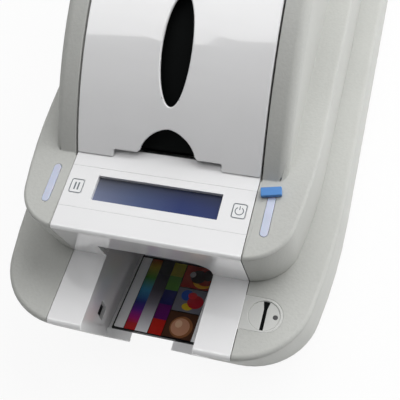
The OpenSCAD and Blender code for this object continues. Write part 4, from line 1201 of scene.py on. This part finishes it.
@dataclass
class Studio:
    """Pale floor, soft light and the camera."""

    camera_at: Point3 = (0.105229, -0.308377, 0.385862)
    camera_turn: Point3 = (33.8022677, 7.04749201, 14.98581471)
    lens: float = 64.564
    sensor: float = 36.0
    ambient: float = 0.31
    glow_share: float = 0.92
    floor_reach: float = 4.0
    floor_paint: Colour = (0.88, 0.88, 0.88, 1)
    lamps: tuple[Softbox, ...] = (
        Softbox("overhead softbox", (-0.45, -0.3, 1.5), (-0.45, -0.299, 0.0), (1.1, 0.6), watts=4.3,
                turn_deg=12.0),
        Softbox("main softbox", (0.55, 0.7, 1.3), (0.0, -0.05, 0.08), (1.45, 1.2), watts=18.2),
        Softbox("side softbox", (1.5, 0.3, 0.5), (0.0, -0.05, 0.08), (0.6, 0.8), watts=7.6),
    )
    screens: tuple[Screen, ...] = (
        Screen("front screen", (-1.2, -0.75), (1.2, -0.75), top=1.05),
        Screen("right screen", (0.75, -0.75), (0.75, -0.12), top=1.5),
        Screen("left screen", (-0.8, -0.75), (-0.8, 0.8), top=0.5),
    )

    def camera(self) -> None:
        """Places the camera."""
        data = bpy.data.cameras.new("camera")
        data.sensor_width = data.sensor_height = self.sensor
        data.sensor_fit = "AUTO"
        data.lens = self.lens
        data.clip_start = 0.02
        data.clip_end = 20.0
        camera = bpy.data.objects.new("camera", data)
        camera.location = self.camera_at
        camera.rotation_euler = [math.radians(a) for a in self.camera_turn]
        bpy.context.scene.collection.objects.link(camera)
        bpy.context.scene.camera = camera

    def seen_directly(self, tree: Tree) -> Socket:
        """Returns 1 for rays from the camera, from a mirror and through glass."""
        rays = add_node(tree, "ShaderNodeLightPath").outputs
        seen = maths(tree, "MAXIMUM", rays["Is Camera Ray"], rays["Is Glossy Ray"])
        return maths(tree, "MAXIMUM", seen, rays["Is Transmission Ray"])

    def world(self) -> None:
        """Makes an even sky that reads white where it is seen."""
        world = bpy.data.worlds.new("studio")
        world.use_nodes = True
        tree = world.node_tree
        tree.nodes.clear()
        soft = add_node(tree, "ShaderNodeBackground", {"Color": WHITE, "Strength": self.ambient})
        white = add_node(tree, "ShaderNodeBackground", {"Color": WHITE, "Strength": 1.0})
        both = add_node(tree, "ShaderNodeMixShader",
                        {0: self.seen_directly(tree), 1: soft.outputs[0], 2: white.outputs[0]})
        add_node(tree, "ShaderNodeOutputWorld", {"Surface": both.outputs[0]})
        bpy.context.scene.world = world

    def floor(self) -> None:
        """Makes the pale floor that keeps the printer's soft shadow."""
        mesh = bpy.data.meshes.new("floor")
        reach = self.floor_reach
        corners = [(x, y, 0) for x, y in rectangle(-reach, reach, -reach, reach)]
        mesh.from_pydata(corners, [], [(0, 1, 2, 3)])
        floor = link("floor", mesh)
        material, tree = new_material("painted board, white")
        matt = add_node(tree, "ShaderNodeBsdfDiffuse", {"Color": self.floor_paint})
        glow = add_node(tree, "ShaderNodeEmission", {"Color": WHITE, "Strength": 1.0})
        share = maths(tree, "MULTIPLY", self.seen_directly(tree), self.glow_share)
        set_surface(tree, add_node(tree, "ShaderNodeMixShader",
                                   {0: share, 1: matt.outputs[0], 2: glow.outputs[0]}))
        mesh.materials.append(material)

    def build(self) -> None:
        """Sets up the studio."""
        self.camera()
        for item in (*self.lamps, *self.screens):
            item.build()
        self.world()
        self.floor()
        bpy.context.scene.view_settings.view_transform = "Standard"


def main() -> None:
    """Builds every sub-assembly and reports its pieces."""
    logging.basicConfig(level=logging.INFO, format="%(name)s %(message)s")
    Studio().build()
    for part in (BASE_CASE, UPPER_CASE, OutputTray(), ControlPanel(), FRONT_COVER, HOPPER_LID,
                 LockAndLever(), CardPath(), RIBBON_DRIVE, MAGAZINE, Electronics()):
        part.build()


if __name__ == "__main__":
    main()
